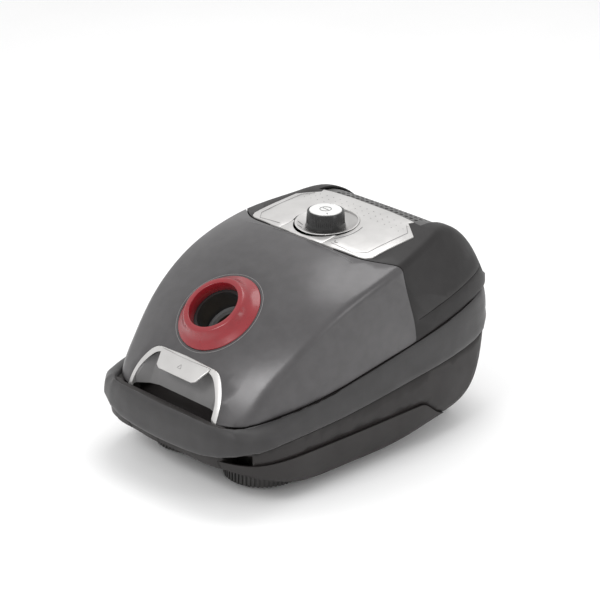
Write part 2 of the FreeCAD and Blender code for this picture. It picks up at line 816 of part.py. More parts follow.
def arch_region(inset, y_from=-300.0, y_to=-150.0):
    """Front view outline of the grip opening, moved inwards by inset."""
    foot_x = size("arch_foot_x") - inset
    foot_z = size("arch_foot_z")
    top = size("arch_top_z") - 0.45 * inset
    points = [(foot_x, foot_z), (foot_x - 0.5, foot_z + 13), (foot_x - 4.0, foot_z + 31),
              (foot_x - 12.0, foot_z + 46 - 0.3 * inset), (foot_x - 24.0, top - 6.0),
              (foot_x - 45.0, top - 1.6), (0, top)]
    return front_prism(points, y_from, y_to)


def lid_hinge_arms(hood_inner):
    """Pair of arms that hang from the hinge pins and carry the lid by its side walls."""
    arm = size("hinge_arm")
    hinge_y = size("hinge_y")
    hinge_z = size("hinge_z")
    low = size("hinge_x") - arm / 2
    corners = [(hinge_y - 4.5, hinge_z - 2), (hinge_y + 4.5, hinge_z - 2), (hinge_y - 7, hinge_z - 39),
               (hinge_y - 15, hinge_z - 39), (hinge_y - 15, hinge_z - 32)]
    path = [Vector(low, y, z) for y, z in corners]
    plate = Part.Face(Part.makePolygon(path + path[:1])).extrude(Vector(arm, 0, 0))
    disc = Part.makeCylinder(size("hinge_boss"), arm, Vector(low, hinge_y, hinge_z), X_AXIS)
    pin = Part.makeCylinder(size("hinge_pin") - RUNNING_FIT, 18.0,
                            Vector(low - arm, hinge_y, hinge_z), X_AXIS)
    foot = box(low + arm - 1.0, low + arm + 40.0, hinge_y - 15, hinge_y - 7, hinge_z - 39, hinge_z - 30)
    piece = plate.fuse([disc, pin, foot]).common(hood_inner)
    return Part.makeCompound([piece, mirrored_x(piece)])


def lid_shell(hood_outer, hood_inner):
    """Front cover over the dust chamber."""
    inside = hood_outer.common(split_region(size("lid_gap"), False))
    shell = inside.cut(hood_inner)
    shell = shell.cut(below_rim(size("side_gap")))
    shell = shell.cut(arch_region(-0.5))
    hole = Part.makeCylinder(size("inlet_hole"), 60.0, ORIGIN, Z_AXIS)
    seat = Part.makeCylinder(size("inlet_flange") + 0.5, 40.0, Vector(0, 0, 60.4), Z_AXIS)
    for tool, drop in ((hole, 40.0), (seat, 0.0)):
        tool.Placement = Placement(INLET_PLACE.Base + INLET_AXIS * drop, INLET_TURN)
        shell = shell.cut(tool)
    return shell.cut(raised_bumper(0.6)).removeSplitter()


def raised_bumper(lift):
    """The bumper moved up a little, to cut clearance over it."""
    form = bumper_form()
    form.translate(Z_AXIS * lift)
    return form


def arch_trim(hood_proud, hood_deep):
    """Bright band round the grip opening, clear of the latch plate as it swings."""
    band = arch_region(0.0).cut(arch_region(size("arch_band")))
    trim = hood_proud.cut(hood_deep).common(band)
    trim = trim.cut(below_rim(1.2)).cut(raised_bumper(0.6))
    for angle in (0.0, 4.0, 8.0):
        room = latch_outline(0.5)
        room.Placement = Placement(LATCH_PLACE.Base, Rotation(X_AXIS, size("latch_tilt") + angle))
        trim = trim.cut(room)
    return trim


def grip_wall(hood_deep):
    """Hollow wall behind the carry bar, open to the front and below."""
    def plan(grow, z, back):
        half = 75.5
        points = [(half, -235.0), (half, -217.0), (62.0, -205.0 + back), (48.0, -201.0 + back)]
        right = [Vector(x + grow, y + grow, z) for x, y in points]
        right[0].y = -235.0
        left = [Vector(-point.x, point.y, z) for point in reversed(right)]
        return Part.makePolygon(right + left + right[:1])
    low = 107.6
    high = 158.0
    outer = Part.makeLoft([plan(size("grip_thick"), low, 0.0), plan(size("grip_thick"), high, 20.0)],
                          True, True)
    inner = Part.makeLoft([plan(0.0, low, 0.0), plan(0.0, high, 20.0)], True, True)
    wall = outer.cut(inner).common(hood_deep).common(arch_region(size("arch_band") - 1.0))
    wall = wall.cut(box(-14, 14, -260, -150, 139.0, 200))
    spring_seat = box(-20, 20, -190.5, -179.0, SPRING_SEAT_LOW, high + 1.0)
    return wall.fuse(spring_seat).removeSplitter()


def latch_outline(grow):
    """Push plate with bevelled lower corners and a round top edge on the pivot, grown all round."""
    wide = size("latch_top_half") + grow
    tip = size("latch_tip_half") + grow
    length = size("latch_length") + grow
    half_thick = size("latch_plate") / 2 + grow
    right = [Vector(wide, 0, -half_thick), Vector(wide, -2.2, -half_thick),
             Vector(tip + 2.0, -length + 3.5, -half_thick), Vector(tip - 4.0, -length, -half_thick)]
    left = [Vector(-point.x, point.y, point.z) for point in reversed(right)]
    plate = Part.Face(Part.makePolygon(right + left + right[:1]))
    plate = plate.extrude(Vector(0, 0, 2 * half_thick))
    return plate.fuse(Part.makeCylinder(half_thick, 2 * wide, Vector(-wide, 0, 0), X_AXIS))


LATCH_PLACE = Placement(Vector(0, size("latch_pivot_y"), size("latch_pivot_z")),
                        Rotation(X_AXIS, size("latch_tilt")))


HOOK_TOP = 149.3
SPRING_SEAT_LOW = 156.8


def latch_hook():
    """Lever behind the grip wall that carries the catch nose."""
    half = size("hook_width") / 2
    thick = size("hook_thick")
    back = -181.0
    arm_top = HOOK_TOP
    arm_low = arm_top - 4.5
    points = [(-205.7, arm_top), (back, arm_top), (back, 118.0), (back - 5.0, 112.0),
              (back - 9.0, 114.0), (back - 5.0, 118.0), (back - thick, 121.0),
              (back - thick, arm_low), (-211.0, arm_low)]
    path = [Vector(-half, y, z) for y, z in points]
    return Part.Face(Part.makePolygon(path + path[:1])).extrude(Vector(2 * half, 0, 0))


def folded_spring(low, high):
    """Flat spring strip folded back and forth between two heights, pressing upwards."""
    folds = 4
    half_width = 3.0
    thick = 0.6
    step = (high - low - thick) / folds
    leaves = []
    for index in range(folds):
        start, end = (-189.0, -183.0) if index % 2 == 0 else (-183.0, -189.0)
        foot = low + index * step
        corners = [(start, foot), (end, foot + step), (end, foot + step + thick), (start, foot + thick)]
        path = [Vector(-half_width, y, z) for y, z in corners]
        leaf = Part.Face(Part.makePolygon(path + path[:1])).extrude(Vector(2 * half_width, 0, 0))
        leaves.append(leaf)
    return leaves[0].fuse(leaves[1:]).removeSplitter()


def lid_seal(hood_inner):
    """Rubber strip round the inside of the lid."""
    outer = upright(inner_plan_wire(5.2, 60.0), 200.0)
    inner = upright(inner_plan_wire(7.6, 60.0), 200.0)
    strip = outer.cut(inner).common(below_rim(6.0)).cut(below_rim(1.2))
    strip = strip.common(box(-200, 200, -196, 20, 0, 300))
    return strip.common(hood_inner)


# ---------------------------------------------------------------- rear housing and controls

def panel_outline(grow):
    """Plan prism of the control panel."""
    points = [(0, -0.5), (55, 2.5), (97, 10.2), (size("panel_corner_x"), 14.0),
              (size("panel_half_width"), 22.0), (size("panel_half_width"), size("panel_bevel_y")),
              (size("panel_notch_x") + 1.0, size("panel_notch_y")),
              (size("panel_tip_x"), size("panel_tip_y"))]
    right = [Vector(x + (grow if x > 100 else 0), y + (grow if y > 90 else 0), 150) for x, y in points]
    left = [Vector(-point.x, point.y, 150) for point in reversed(right[1:])]
    path = right + left
    if grow:
        path = [Vector(p.x, p.y - (grow if p.y < 30 else 0), p.z) for p in path]
    return Part.Face(Part.makePolygon(path + path[:1])).extrude(Vector(0, 0, 250))


def keyhole(grow):
    """Plan prism of the knob bezel: round dish with a strip to the front edge."""
    circle = Part.makeCylinder(size("dish_radius") + grow, 250.0, Vector(0, size("knob_y"), 150))
    half = size("strip_half_width") + grow
    strip = box(-half, half, -10.0, size("knob_y") - 20, 150, 400)
    return circle.fuse(strip).removeSplitter()


COVER_HINGE = Vector(0, size("cover_rear") - 1.8, 239.0)


def cover_outline(grow):
    half = size("cover_half_width") + grow
    return box(-half, half, size("cover_front") - grow, size("cover_rear") + grow, 150, 400)


def rear_housing(hood_outer, hood_inner):
    """Rear upper casing over the motor bay."""
    shell = hood_outer.common(split_region(0.0, True)).cut(hood_inner)
    shell = shell.cut(below_rim(0.4))
    shell = shell.cut(panel_outline(0.4)).cut(cover_outline(0.8))
    shell = shell.cut(Part.makeCylinder(4.6, 2 * size("cover_half_width") + 1.6, Vector(
        -size("cover_half_width") - 0.8, COVER_HINGE.y, COVER_HINGE.z), X_AXIS))
    groove = below_rim(28.0).cut(below_rim(27.2)).common(box(-300, 300, 66, 214, 0, 400))
    shell = shell.cut(groove.cut(hood(-0.8, 6.0)))
    rim = panel_outline(3.0).cut(panel_outline(-5.0)).common(box(-200, 200, -4.0, 300, 200, 400))
    ledge = rim.common(hood(-size("panel_deep") - 0.4, 6.0)).cut(hood(-size("panel_deep") - 2.9, 6.0))
    ledge = ledge.common(split_region(-4.0, True))
    shell = shell.fuse(ledge.cut(cover_outline(0.8)).cut(keyhole(1.0)))
    for side in (-1, 1):
        for low, wide in ((121.5, 6.0), (135.0, 4.0)):
            start = side * low if side > 0 else -low - wide
            ear = box(start, start + wide, 50.5, 61.5, 247.5, 275.0).common(hood(-1.0, 0.0))
            bore = Part.makeCylinder(size("hinge_pin"), wide + 2,
                                     Vector(start - 1, size("hinge_y"), size("hinge_z")), X_AXIS)
            shell = shell.fuse(ear).cut(bore)
    outlet = Part.makeCylinder(9.0, 40.0, Vector(0, 0, -20), Z_AXIS)
    outlet.Placement = CORD_PLACE
    return shell.cut(outlet).removeSplitter()


CORD_PLACE = Placement(Vector(60.0, 228.5, 205.0), Rotation(X_AXIS, -59.7))


def control_panel():
    """Silver panel set flush in the rear housing."""
    skin = hood(size("panel_proud"), 0.0).cut(hood(-size("panel_deep"), 6.0))
    return skin.common(panel_outline(0.0)).cut(keyhole(0.4)).removeSplitter()


def knob_bezel():
    """Dish round the knob with its front strip."""
    floor = size("dish_floor")
    low_r = size("dish_floor_radius")
    high_r = size("dish_radius")
    thick = size("dish_thick")
    points = [(6.2, floor - thick), (low_r, floor - thick), (high_r, floor + 9.0), (high_r, floor + 18.0),
              (high_r - thick, floor + 18.0), (high_r - thick, floor + 9.5), (low_r - 1.0, floor), (6.2, floor)]
    path = [Vector(x, 0, z) for x, z in points]
    dish = Part.Face(Part.makePolygon(path + path[:1])).revolve(ORIGIN, Z_AXIS, 360)
    dish.translate(Vector(0, size("knob_y"), 0))
    dish = dish.common(hood(2.0, 0.0))
    skin = hood(0.9, 0.0).cut(hood(-size("panel_deep"), 6.0))
    strip = skin.common(keyhole(0.0)).common(panel_outline(0.0))
    strip = strip.common(box(-60, 60, -10, size("knob_y") - 20, 150, 400))
    hollow = Part.makeCylinder(high_r - thick, 250.0, Vector(0, size("knob_y"), 150))
    bridge = box(-20, 20, size("knob_y") - high_r - 2.0, size("knob_y") - high_r + 1.5, 271.0, 276.0)
    return dish.fuse([strip.cut(hollow), bridge.common(hood(0.4, 6.0))]).removeSplitter()


def exhaust_cover(skin):
    """Frame of the lift-up exhaust grille."""
    frame = size("cover_frame")
    half = size("cover_half_width") - frame
    window = box(-half, half, size("cover_front") + frame, size("cover_rear") - frame, 150, 400)
    shell = skin.common(cover_outline(0.0)).cut(window)
    barrel = Part.makeCylinder(2.0, 2 * size("cover_half_width") - 20.0,
                               Vector(10.0 - size("cover_half_width"), COVER_HINGE.y, COVER_HINGE.z), X_AXIS)
    return shell.fuse(barrel).removeSplitter()


def exhaust_mesh(skin):
    """Perforated sheet in the exhaust cover."""
    frame = size("cover_frame") + 0.05
    half = size("cover_half_width") - frame
    window = box(-half, half, size("cover_front") + frame, size("cover_rear") - frame, 150, 400)
    sheet_metal = skin.common(window)
    pitch = size("mesh_pitch")
    holes = []
    for row in range(6):
        for column in range(-8, 9):
            place = Vector(column * pitch, size("cover_front") + frame + 6.0 + row * pitch, 200)
            holes.append(Part.makeCylinder(size("mesh_hole"), 120.0, place))
    return sheet_metal.cut(Part.makeCompound(holes))


# ---------------------------------------------------------------- assembling the sub-parts

def place_of(x, y, z, axis=Z_AXIS):
    return Placement(Vector(x, y, z), Rotation(Z_AXIS, axis))


def outer_shells():
    hood_outer = hood()
    hood_inner = hood(-WALL, 6.0)
    hood_deep = hood(-size("arch_deep"), 6.0)
    freeform("chassis_tub", chassis_tub())
    freeform("bumper_band", bumper_form())
    freeform("carry_rail", carry_rail())
    freeform("belly_pan", belly_pan())
    freeform("lid_shell", lid_shell(hood_outer, hood_inner))
    freeform("arch_trim", arch_trim(hood(size("arch_proud")), hood_deep))
    freeform("grip_wall", grip_wall(hood_deep))
    freeform("lid_seal", lid_seal(hood_inner))
    freeform("lid_hinge_arms", lid_hinge_arms(hood_inner))
    freeform("rear_housing", biggest(rear_housing(hood_outer, hood_inner)))
    freeform("control_panel", control_panel())
    freeform("knob_bezel", knob_bezel())
    sunk = hood(-size("cover_sink"), 6.0).cut(hood(-size("cover_sink") - size("cover_thick"), 6.0))
    freeform("exhaust_cover", exhaust_cover(sunk))
    freeform("exhaust_mesh", exhaust_mesh(sunk))


def biggest(shape):
    """Largest solid of a shape, dropping slivers left by a cut."""
    return max(shape.Solids, key=lambda solid: solid.Volume)


def latch_parts():
    freeform("latch_button", latch_outline(0.0).removeSplitter(), LATCH_PLACE)
    freeform("latch_hook", latch_hook())
    freeform("latch_spring", folded_spring(HOOK_TOP + 0.05, SPRING_SEAT_LOW - 0.05))


def inlet_parts():
    rim = "80"
    collar = [("inlet_bore", rim), ("inlet_rim_radius", rim), ("inlet_rim_radius + 1.5", "79.2"),
              ("inlet_rim_radius + 4.5", "73"), ("inlet_rim_radius + 10.5", "66.5"),
              ("inlet_flange", "63.2"), ("inlet_flange", "60.6"), ("inlet_neck + 10.5", "60.6"),
              ("inlet_neck + 10.5", "55"), ("inlet_neck", "52"), ("inlet_neck", "44"),
              ("tube_outer + 0.1", "44"), ("tube_outer + 0.1", "64"), ("inlet_bore", "64")]
    keep("inlet_collar", turned("inlet_collar", collar, INLET_PLACE))
    tube = [("tube_inner", "18"), ("tube_outer", "18"), ("tube_outer", "63.9"), ("tube_inner", "63.9")]
    keep("inlet_tube", turned("inlet_tube", tube, INLET_PLACE))
    ring = [("seal_inner", "30"), ("tube_inner - 0.1", "30"), ("tube_inner - 0.1", "34"),
            ("seal_inner + 2", "34")]
    keep("inlet_seal", turned("inlet_seal", ring, INLET_PLACE))


def bag_parts():
    """Dust bag with its collar plate, held in a slotted frame behind the inlet."""
    half = "collar_size / 2"
    outline = [("0 - " + half, "0 - " + half), (half, "0 - " + half), (half, half), ("0 - " + half, half)]
    plate_place = Placement(INLET_RIM - INLET_AXIS * 68.0, INLET_TURN)
    plate = padded("collar_plate", outline, "collar_thick", plate_place)
    hole = rod("collar_hole", ("0", "0", "0"), "seal_inner + 1", "20")
    hole.Placement = Placement(INLET_RIM - INLET_AXIS * 75.0, INLET_TURN)
    keep("bag_collar", cut("bag_collar", plate, hole))
    frame_half = size("collar_size") / 2
    frame = box(-frame_half - 5, frame_half + 5, -frame_half - 5, frame_half + 3, -4.6, -0.3)
    frame = frame.cut(box(-frame_half + 6, frame_half - 6, -frame_half + 6, frame_half + 10, -10, 10))
    for side in (-1, 1):
        inner_edge = side * (frame_half + 0.4)
        outer_edge = side * (frame_half + 5)
        cheek = box(min(inner_edge, outer_edge), max(inner_edge, outer_edge),
                    -frame_half - 5, frame_half + 3, -0.3, 4.5)
        frame = frame.fuse(cheek)
        foot = box(side * (frame_half - 2) - 4, side * (frame_half - 2) + 4,
                   -frame_half - 5, -frame_half + 3, -30, -0.3)
        frame = frame.fuse(foot)
    freeform("bag_holder", frame.removeSplitter(), plate_place)
    bag = doc.addObject("Part::Box", "bag_block")
    bag.setExpression("Length", "dims.bag_wide")
    bag.setExpression("Width", "dims.bag_long")
    bag.setExpression("Height", "dims.bag_high")
    bag.setExpression("Placement.Base.x", "-dims.bag_wide / 2")
    bag.setExpression("Placement.Base.y", "dims.bag_y - dims.bag_long / 2")
    bag.setExpression("Placement.Base.z", "dims.bag_z")
    doc.recompute()
    soft = doc.addObject("Part::Fillet", "dust_bag")
    soft.Base = bag
    corner = size("bag_corner")
    soft.Edges = [(number + 1, corner, corner) for number in range(len(bag.Shape.Edges))]
    trimmed = cut("dust_bag_trimmed", soft, BAG_CLEARANCE)
    keep("dust_bag", trimmed)


def bag_clearance():
    """Space above the bag kept free for the holder, the tube and the lid."""
    item = doc.addObject("Part::Box", "bag_clearance")
    item.Length = 400
    item.Width = 300
    item.Height = 200
    corner = INLET_TURN.multVec(Vector(-200, -150, 0))
    item.Placement = Placement(INLET_RIM - INLET_AXIS * 106.0 + corner, INLET_TURN)
    return item


BAG_CLEARANCE = bag_clearance()


def knob_parts():
    """Speed knob with the power button in its top, and the switch below."""
    spot = Placement(Vector(0, size("knob_y"), 0), Rotation())
    knob = [("0", "284"), ("22", "284"), ("22", "knob_bottom + 0.3"),
            ("knob_base_radius", "knob_bottom + 0.3"), ("knob_base_radius", "knob_bottom + 2"),
            ("knob_radius + 0.4", "knob_bottom + 8"), ("knob_radius", "knob_top - 2"),
            ("knob_radius - 0.6", "knob_top - 1.2"), ("button_radius + 0.15", "knob_top - 1.2"),
            ("button_radius + 0.15", "knob_top - 8.5"), ("0", "knob_top - 8.5")]
    cap = turned("knob_cap", knob, spot)
    stem = rod("knob_stem", ("0", "knob_y", "250"), "stem_radius", "35")
    keep("speed_knob", fuse("speed_knob", cap, stem))
    button = [("0", "knob_top - 5.5"), ("button_radius", "knob_top - 5.5"),
              ("button_radius", "knob_top - 0.8"), ("button_radius - 0.8", "knob_top"), ("0", "knob_top")]
    keep("power_button", turned("power_button", button, spot))
    switch = [("stem_radius + 0.05", "244"), ("switch_radius", "244"),
              ("switch_radius", "244 + switch_high"), ("stem_radius + 0.05", "244 + switch_high")]
    keep("speed_switch", turned("speed_switch", switch, spot))
    keep("control_board", block("control_board", ("-62", "36", "241.5"), ("124", "48", "1.6")))


def motor_parts():
    """Motor and fan on one shaft along Y, in a sound-damping capsule."""
    def spot(y):
        return place_of(size("motor_x"), y, size("motor_z"), Y_AXIS)
    capsule = [("capsule_radius - capsule_wall", "0"), ("capsule_radius", "0"),
               ("capsule_radius", "capsule_length"), ("bearing_radius + 0.05", "capsule_length"),
               ("bearing_radius + 0.05", "capsule_length - 7"), ("15", "capsule_length - 7"),
               ("15", "capsule_length - capsule_wall"),
               ("capsule_radius - capsule_wall", "capsule_length - capsule_wall")]
    shell = turned("capsule_shell", capsule, spot(46.0))
    vents = []
    for index in range(6):
        turn = math.radians(60 * index)
        vent = rod("vent_%d" % (index + 1),
                   ("motor_x + %.2f" % (40 * math.cos(turn)), "130", "motor_z + %.2f" % (40 * math.sin(turn))),
                   "8", "40", Y_AXIS)
        vents.append(vent)
    keep("motor_capsule", cut("motor_capsule", shell, fuse("capsule_vents", *vents)))
    shroud = [("20", "0"), ("shroud_radius", "0"), ("shroud_radius", "shroud_length"),
              ("shroud_radius - shroud_wall", "shroud_length"),
              ("shroud_radius - shroud_wall", "shroud_wall"), ("20", "shroud_wall")]
    keep("fan_shroud", turned("fan_shroud", shroud, spot(52.0)))
    stator = [("bearing_radius + 0.05", "0"), ("stator_outer", "0"), ("stator_outer", "44"),
              ("stator_inner", "44"), ("stator_inner", "8"), ("14", "8"), ("14", "7"),
              ("bearing_radius + 0.05", "7")]
    keep("motor_stator", turned("motor_stator", stator, spot(94.2)))
    shaft = rod("motor_shaft", ("motor_x", "53", "motor_z"), "shaft_radius", "shaft_length", Y_AXIS)
    keep("motor_shaft", shaft)
    armature = [("shaft_radius + 0.02", "0"), ("armature_radius", "0"), ("armature_radius", "28"),
                ("12", "31"), ("11", "31"), ("11", "37"), ("shaft_radius + 0.02", "37")]
    keep("motor_armature", turned("motor_armature", armature, spot(104.5)))
    hub = [("shaft_radius + 0.02", "0"), ("10", "0"), ("10", "12"), ("impeller_radius", "13"),
           ("impeller_radius", "14.5"), ("shaft_radius + 0.02", "14.5")]
    disc = turned("impeller_disc", hub, spot(58.0))
    doc.recompute()
    wheel = disc.Shape.copy()
    blades = int(size("impeller_blades"))
    for index in range(blades):
        blade = Part.makeBox(38.0, 1.4, 10.0, Vector(12, -0.7, 3.4))
        blade.rotate(Vector(12, 0, 0), Z_AXIS, 28)
        blade.rotate(ORIGIN, Z_AXIS, 360.0 * index / blades)
        blade.Placement = spot(58.0).multiply(blade.Placement)
        wheel = wheel.fuse(blade)
    freeform("fan_impeller", wheel.common(Part.makeCylinder(
        size("impeller_radius"), 30, spot(56.0).Base, Y_AXIS)).removeSplitter())
    bearing = [("shaft_radius + 0.02", "0"), ("bearing_radius", "0"), ("bearing_radius", "6.8"),
               ("shaft_radius + 0.02", "6.8")]
    front = turned("front_bearing", bearing, spot(94.2))
    rear = turned("rear_bearing", bearing, spot(143.1))
    keep("motor_bearings", fuse("motor_bearings", front, rear))
    upper = block("upper_brush", ("motor_x - 3", "136", "motor_z + 11.2"), ("6", "5", "brush_long"))
    lower = block("lower_brush", ("motor_x - 3", "136", "motor_z - 11.2 - brush_long"),
                  ("6", "5", "brush_long"))
    keep("carbon_brushes", fuse("carbon_brushes", upper, lower))
    front_seal = [("24", "0"), ("36", "0"), ("36", "18"), ("24", "18")]
    keep("motor_front_seal", turned("motor_front_seal", front_seal, spot(33.5)))
    rear_mount = [("capsule_radius - 14", "0"), ("capsule_radius - 2", "0"),
                  ("capsule_radius - 2", "5"), ("capsule_radius - 14", "5")]
    keep("motor_rear_mount", turned("motor_rear_mount", rear_mount, spot(150.2)))


def filter_parts():
    """Partition between the dust chamber and the motor bay, with the motor filter."""
    y = size("partition_y")
    thick = size("partition_thick")
    room = upright(inner_plan_wire(5.4, 30.0), 300.0).common(box(-200, 200, y, y + thick, 43.0, 300))
    wall = room.common(hood(-6.0, 200.0)).common(box(-200, 200, 0, 60, 0, 238.0))
    opening = Part.makeCylinder(38.0, 20.0, Vector(size("motor_x"), y - 5, size("motor_z")), Y_AXIS)
    wall = wall.cut(opening)
    for low in (-200.0, 120.0):
        wall = wall.cut(box(low, low + 80.0, 0, 60, size("hinge_z") - 38.0, 300))
    for index in range(-2, 3):
        x = size("motor_x") + 13.0 * index
        rib = box(x - 1.2, x + 1.2, y + 0.4, y + thick - 0.4, size("motor_z") - 40, size("motor_z") + 40)
        wall = wall.fuse(rib.common(Part.makeCylinder(
            39.0, 20.0, Vector(size("motor_x"), y - 5, size("motor_z")), Y_AXIS)))
    for side in (-1, 1):
        near = size("motor_x") + side * (size("filter_half_width") - 2.4)
        far = near + side * 4.0
        wall = wall.fuse(box(min(near, far), max(near, far), y - 8.6, y + 0.1, 60, 150))
    freeform("partition_wall", wall.removeSplitter())
    centre = size("motor_x")
    half = size("filter_half_width") - 2.6
    low = size("filter_low")
    high = size("filter_high")
    front = y - 8.0
    back = y - 0.6
    rim = size("filter_rim")
    frame = box(centre - half, centre + half, front, back, low, high)
    frame = frame.cut(box(centre - half + rim, centre + half - rim, front - 1, back + 1,
                          low + rim, high - rim))
    for index in (-1, 0, 1):
        x = centre + 32.0 * index
        frame = frame.fuse(box(x - 1.2, x + 1.2, back - 1.8, back, low + 2, high - 2))
    handle = box(centre - 12, centre + 12, front, front + 3, high, high + 10)
    freeform("motor_filter_frame", frame.fuse(handle).removeSplitter())
    margin = rim + 0.1
    keep("motor_filter_foam", block(
        "motor_filter_foam",
        ("motor_x - %.2f" % (half - margin), "partition_y - 7.8", "filter_low + %.2f" % margin),
        ("%.2f" % (2 * (half - margin)), "filter_thick", "%.2f" % (high - low - 2 * margin))))


def exhaust_filter_parts():
    """Pleated exhaust filter in its frame under the grille."""
    length = size("hepa_length")
    width = size("hepa_width")
    high = size("hepa_high")
    wall = size("hepa_wall")
    y = size("hepa_y")
    z = size("hepa_z")
    frame = box(-length / 2, length / 2, y - width / 2, y + width / 2, z, z + high)
    frame = frame.cut(box(-length / 2 + wall, length / 2 - wall, y - width / 2 + wall,
                          y + width / 2 - wall, z - 1, z + high + 1))
    freeform("exhaust_filter_frame", frame)
    inner = length - 2 * wall - 0.4
    pitch = size("pleat_pitch")
    count = int(inner / pitch)
    start = -count * pitch / 2
    thick = size("pleat_thick")
    upper = []
    lower = []
    for index in range(2 * count + 1):
        x = start + index * pitch / 2
        level = z + 2.0 if index % 2 == 0 else z + high - 3.0
        lower.append((x, level))
        upper.append((x, level + 2.2 * thick))
    path = [Vector(x, y - width / 2 + wall + 0.2, level) for x, level in lower + upper[::-1]]
    pleats = Part.Face(Part.makePolygon(path + path[:1])).extrude(Vector(0, width - 2 * wall - 0.4, 0))
    freeform("exhaust_filter_pleats", pleats)


def drum_parts():
    """Cord drum on its axle, with the rewind spring case and the brake lever."""
    spot = place_of(size("drum_x") - size("drum_width") / 2, size("drum_y"), size("drum_z"), X_AXIS)
    spool = [("axle_radius + 0.05", "0"), ("drum_radius", "0"), ("drum_radius", "drum_flange"),
             ("drum_core", "drum_flange"), ("drum_core", "drum_width - drum_flange"),
             ("drum_radius", "drum_width - drum_flange"), ("drum_radius", "drum_width"),
             ("axle_radius + 0.05", "drum_width")]
    keep("cord_drum", turned("cord_drum", spool, spot))
    axle = rod("drum_axle_rod", ("drum_x - drum_width / 2 - 17", "drum_y", "drum_z"),
               "axle_radius", "drum_width + 30", X_AXIS)
    pin = rod("lever_pin", ("drum_x - lever_wide", "44.5", "142"), "2", "2 * lever_wide", X_AXIS)
    keep("drum_axle", fuse("drum_axle", axle, pin))
    case = [("axle_radius + 0.02", "0"), ("spring_radius", "0"), ("spring_radius", "spring_wide"),
            ("spring_radius - 2", "spring_wide"), ("spring_radius - 2", "2"),
            ("axle_radius + 0.02", "2")]
    case_spot = place_of(size("drum_x") - size("drum_width") / 2 - 15, size("drum_y"), size("drum_z"), X_AXIS)
    keep("rewind_spring_case", turned("rewind_spring_case", case, case_spot))
    arm = block("lever_arm", ("drum_x - lever_wide / 2", "42", "142 - lever_long"),
                ("lever_wide", "lever_thick", "lever_long"))
    boss = rod("lever_boss", ("drum_x - lever_wide / 2", "44.5", "142"), "5", "lever_wide", X_AXIS)
    bore = rod("lever_bore", ("drum_x - lever_wide", "44.5", "142"), "2.05", "3 * lever_wide", X_AXIS)
    keep("brake_lever", cut("brake_lever", fuse("lever_body", arm, boss), bore))


def cord_outlet():
    bush = [("5", "0"), ("8.8", "0"), ("8.8", "14"), ("12.5", "14.6"), ("12.5", "17"), ("6.5", "17.6"),
            ("5", "16")]
    place = Placement(CORD_PLACE.Base - CORD_PLACE.Rotation.multVec(Z_AXIS) * 14.0, CORD_PLACE.Rotation)
    keep("cord_outlet", turned("cord_outlet", bush, place))


def ribbed_disc(place):
    """Ribbed turntable that holds one front wheel."""
    radius = size("front_disc_radius")
    ribs = int(size("rib_count"))
    points = []
    for index in range(ribs):
        for shift, depth in ((0.0, 0.0), (0.5, 0.0), (0.5, 1.0), (1.0, 1.0)):
            turn = 2 * math.pi * (index + shift) / ribs
            reach = radius - depth * size("rib_deep")
            points.append(Vector(reach * math.cos(turn), reach * math.sin(turn), size("front_disc_low")))
    high = size("front_disc_high") - size("front_disc_low")
    disc = Part.Face(Part.makePolygon(points + points[:1])).extrude(Vector(0, 0, high))
    room = Part.makeCylinder(radius - 4.5, high - 3.0, Vector(0, 0, size("front_disc_low")))
    disc = disc.cut(room)
    trail = size("front_trail")
    half = size("front_wheel_width") / 2
    level = size("front_wheel_radius")
    for side in (-1, 1):
        low = half + 0.5 if side > 0 else -half - 4.0
        cheek = box(low, low + 3.5, trail - 8, trail + 8, level - 7, size("front_disc_high") - 2.9)
        disc = disc.fuse(cheek)
    bore = Part.makeCylinder(size("caster_axle"), 40.0, Vector(-20, trail, level), X_AXIS)
    stem = Part.makeCylinder(size("caster_stem") - RUNNING_FIT, 10.0, Vector(0, 0, 31.0))
    disc = disc.cut(bore).fuse(stem).removeSplitter()
    disc.translate(place)
    return disc


def rear_fork(place):
    """Swivel fork of a rear caster."""
    trail = size("rear_trail")
    half = size("rear_wheel_width") / 2
    level = size("rear_wheel_radius")
    low = size("fork_low")
    fork = Part.makeCylinder(size("fork_radius"), size("fork_high") - low, Vector(0, 0, low))
    for side in (-1, 1):
        start = half + 0.5 if side > 0 else -half - 0.5 - size("fork_cheek")
        cheek = box(start, start + size("fork_cheek"), trail - 7, trail + 6, level - 5, low + 0.5)
        fork = fork.fuse(cheek)
    bore = Part.makeCylinder(size("caster_axle"), 40.0, Vector(-20, trail, level), X_AXIS)
    stem = Part.makeCylinder(size("caster_stem") - RUNNING_FIT, 14.0, Vector(0, 0, size("fork_high")))
    fork = fork.cut(bore).fuse(stem).removeSplitter()
    fork.translate(place)
    return fork


def caster_wheel(name, x, y, radius, width):
    """Rubber-tyred wheel on an axle along X, all sizes from the sheet."""
    profile = [("caster_axle + 0.05", "0"), (radius + " - 1.5", "0"), (radius, "1.5"),
               (radius, width + " - 1.5"), (radius + " - 1.5", width), ("caster_axle + 0.05", width)]
    spot = place_of(x - size(width) / 2, y, size(radius), X_AXIS)
    keep(name, turned(name, profile, spot))


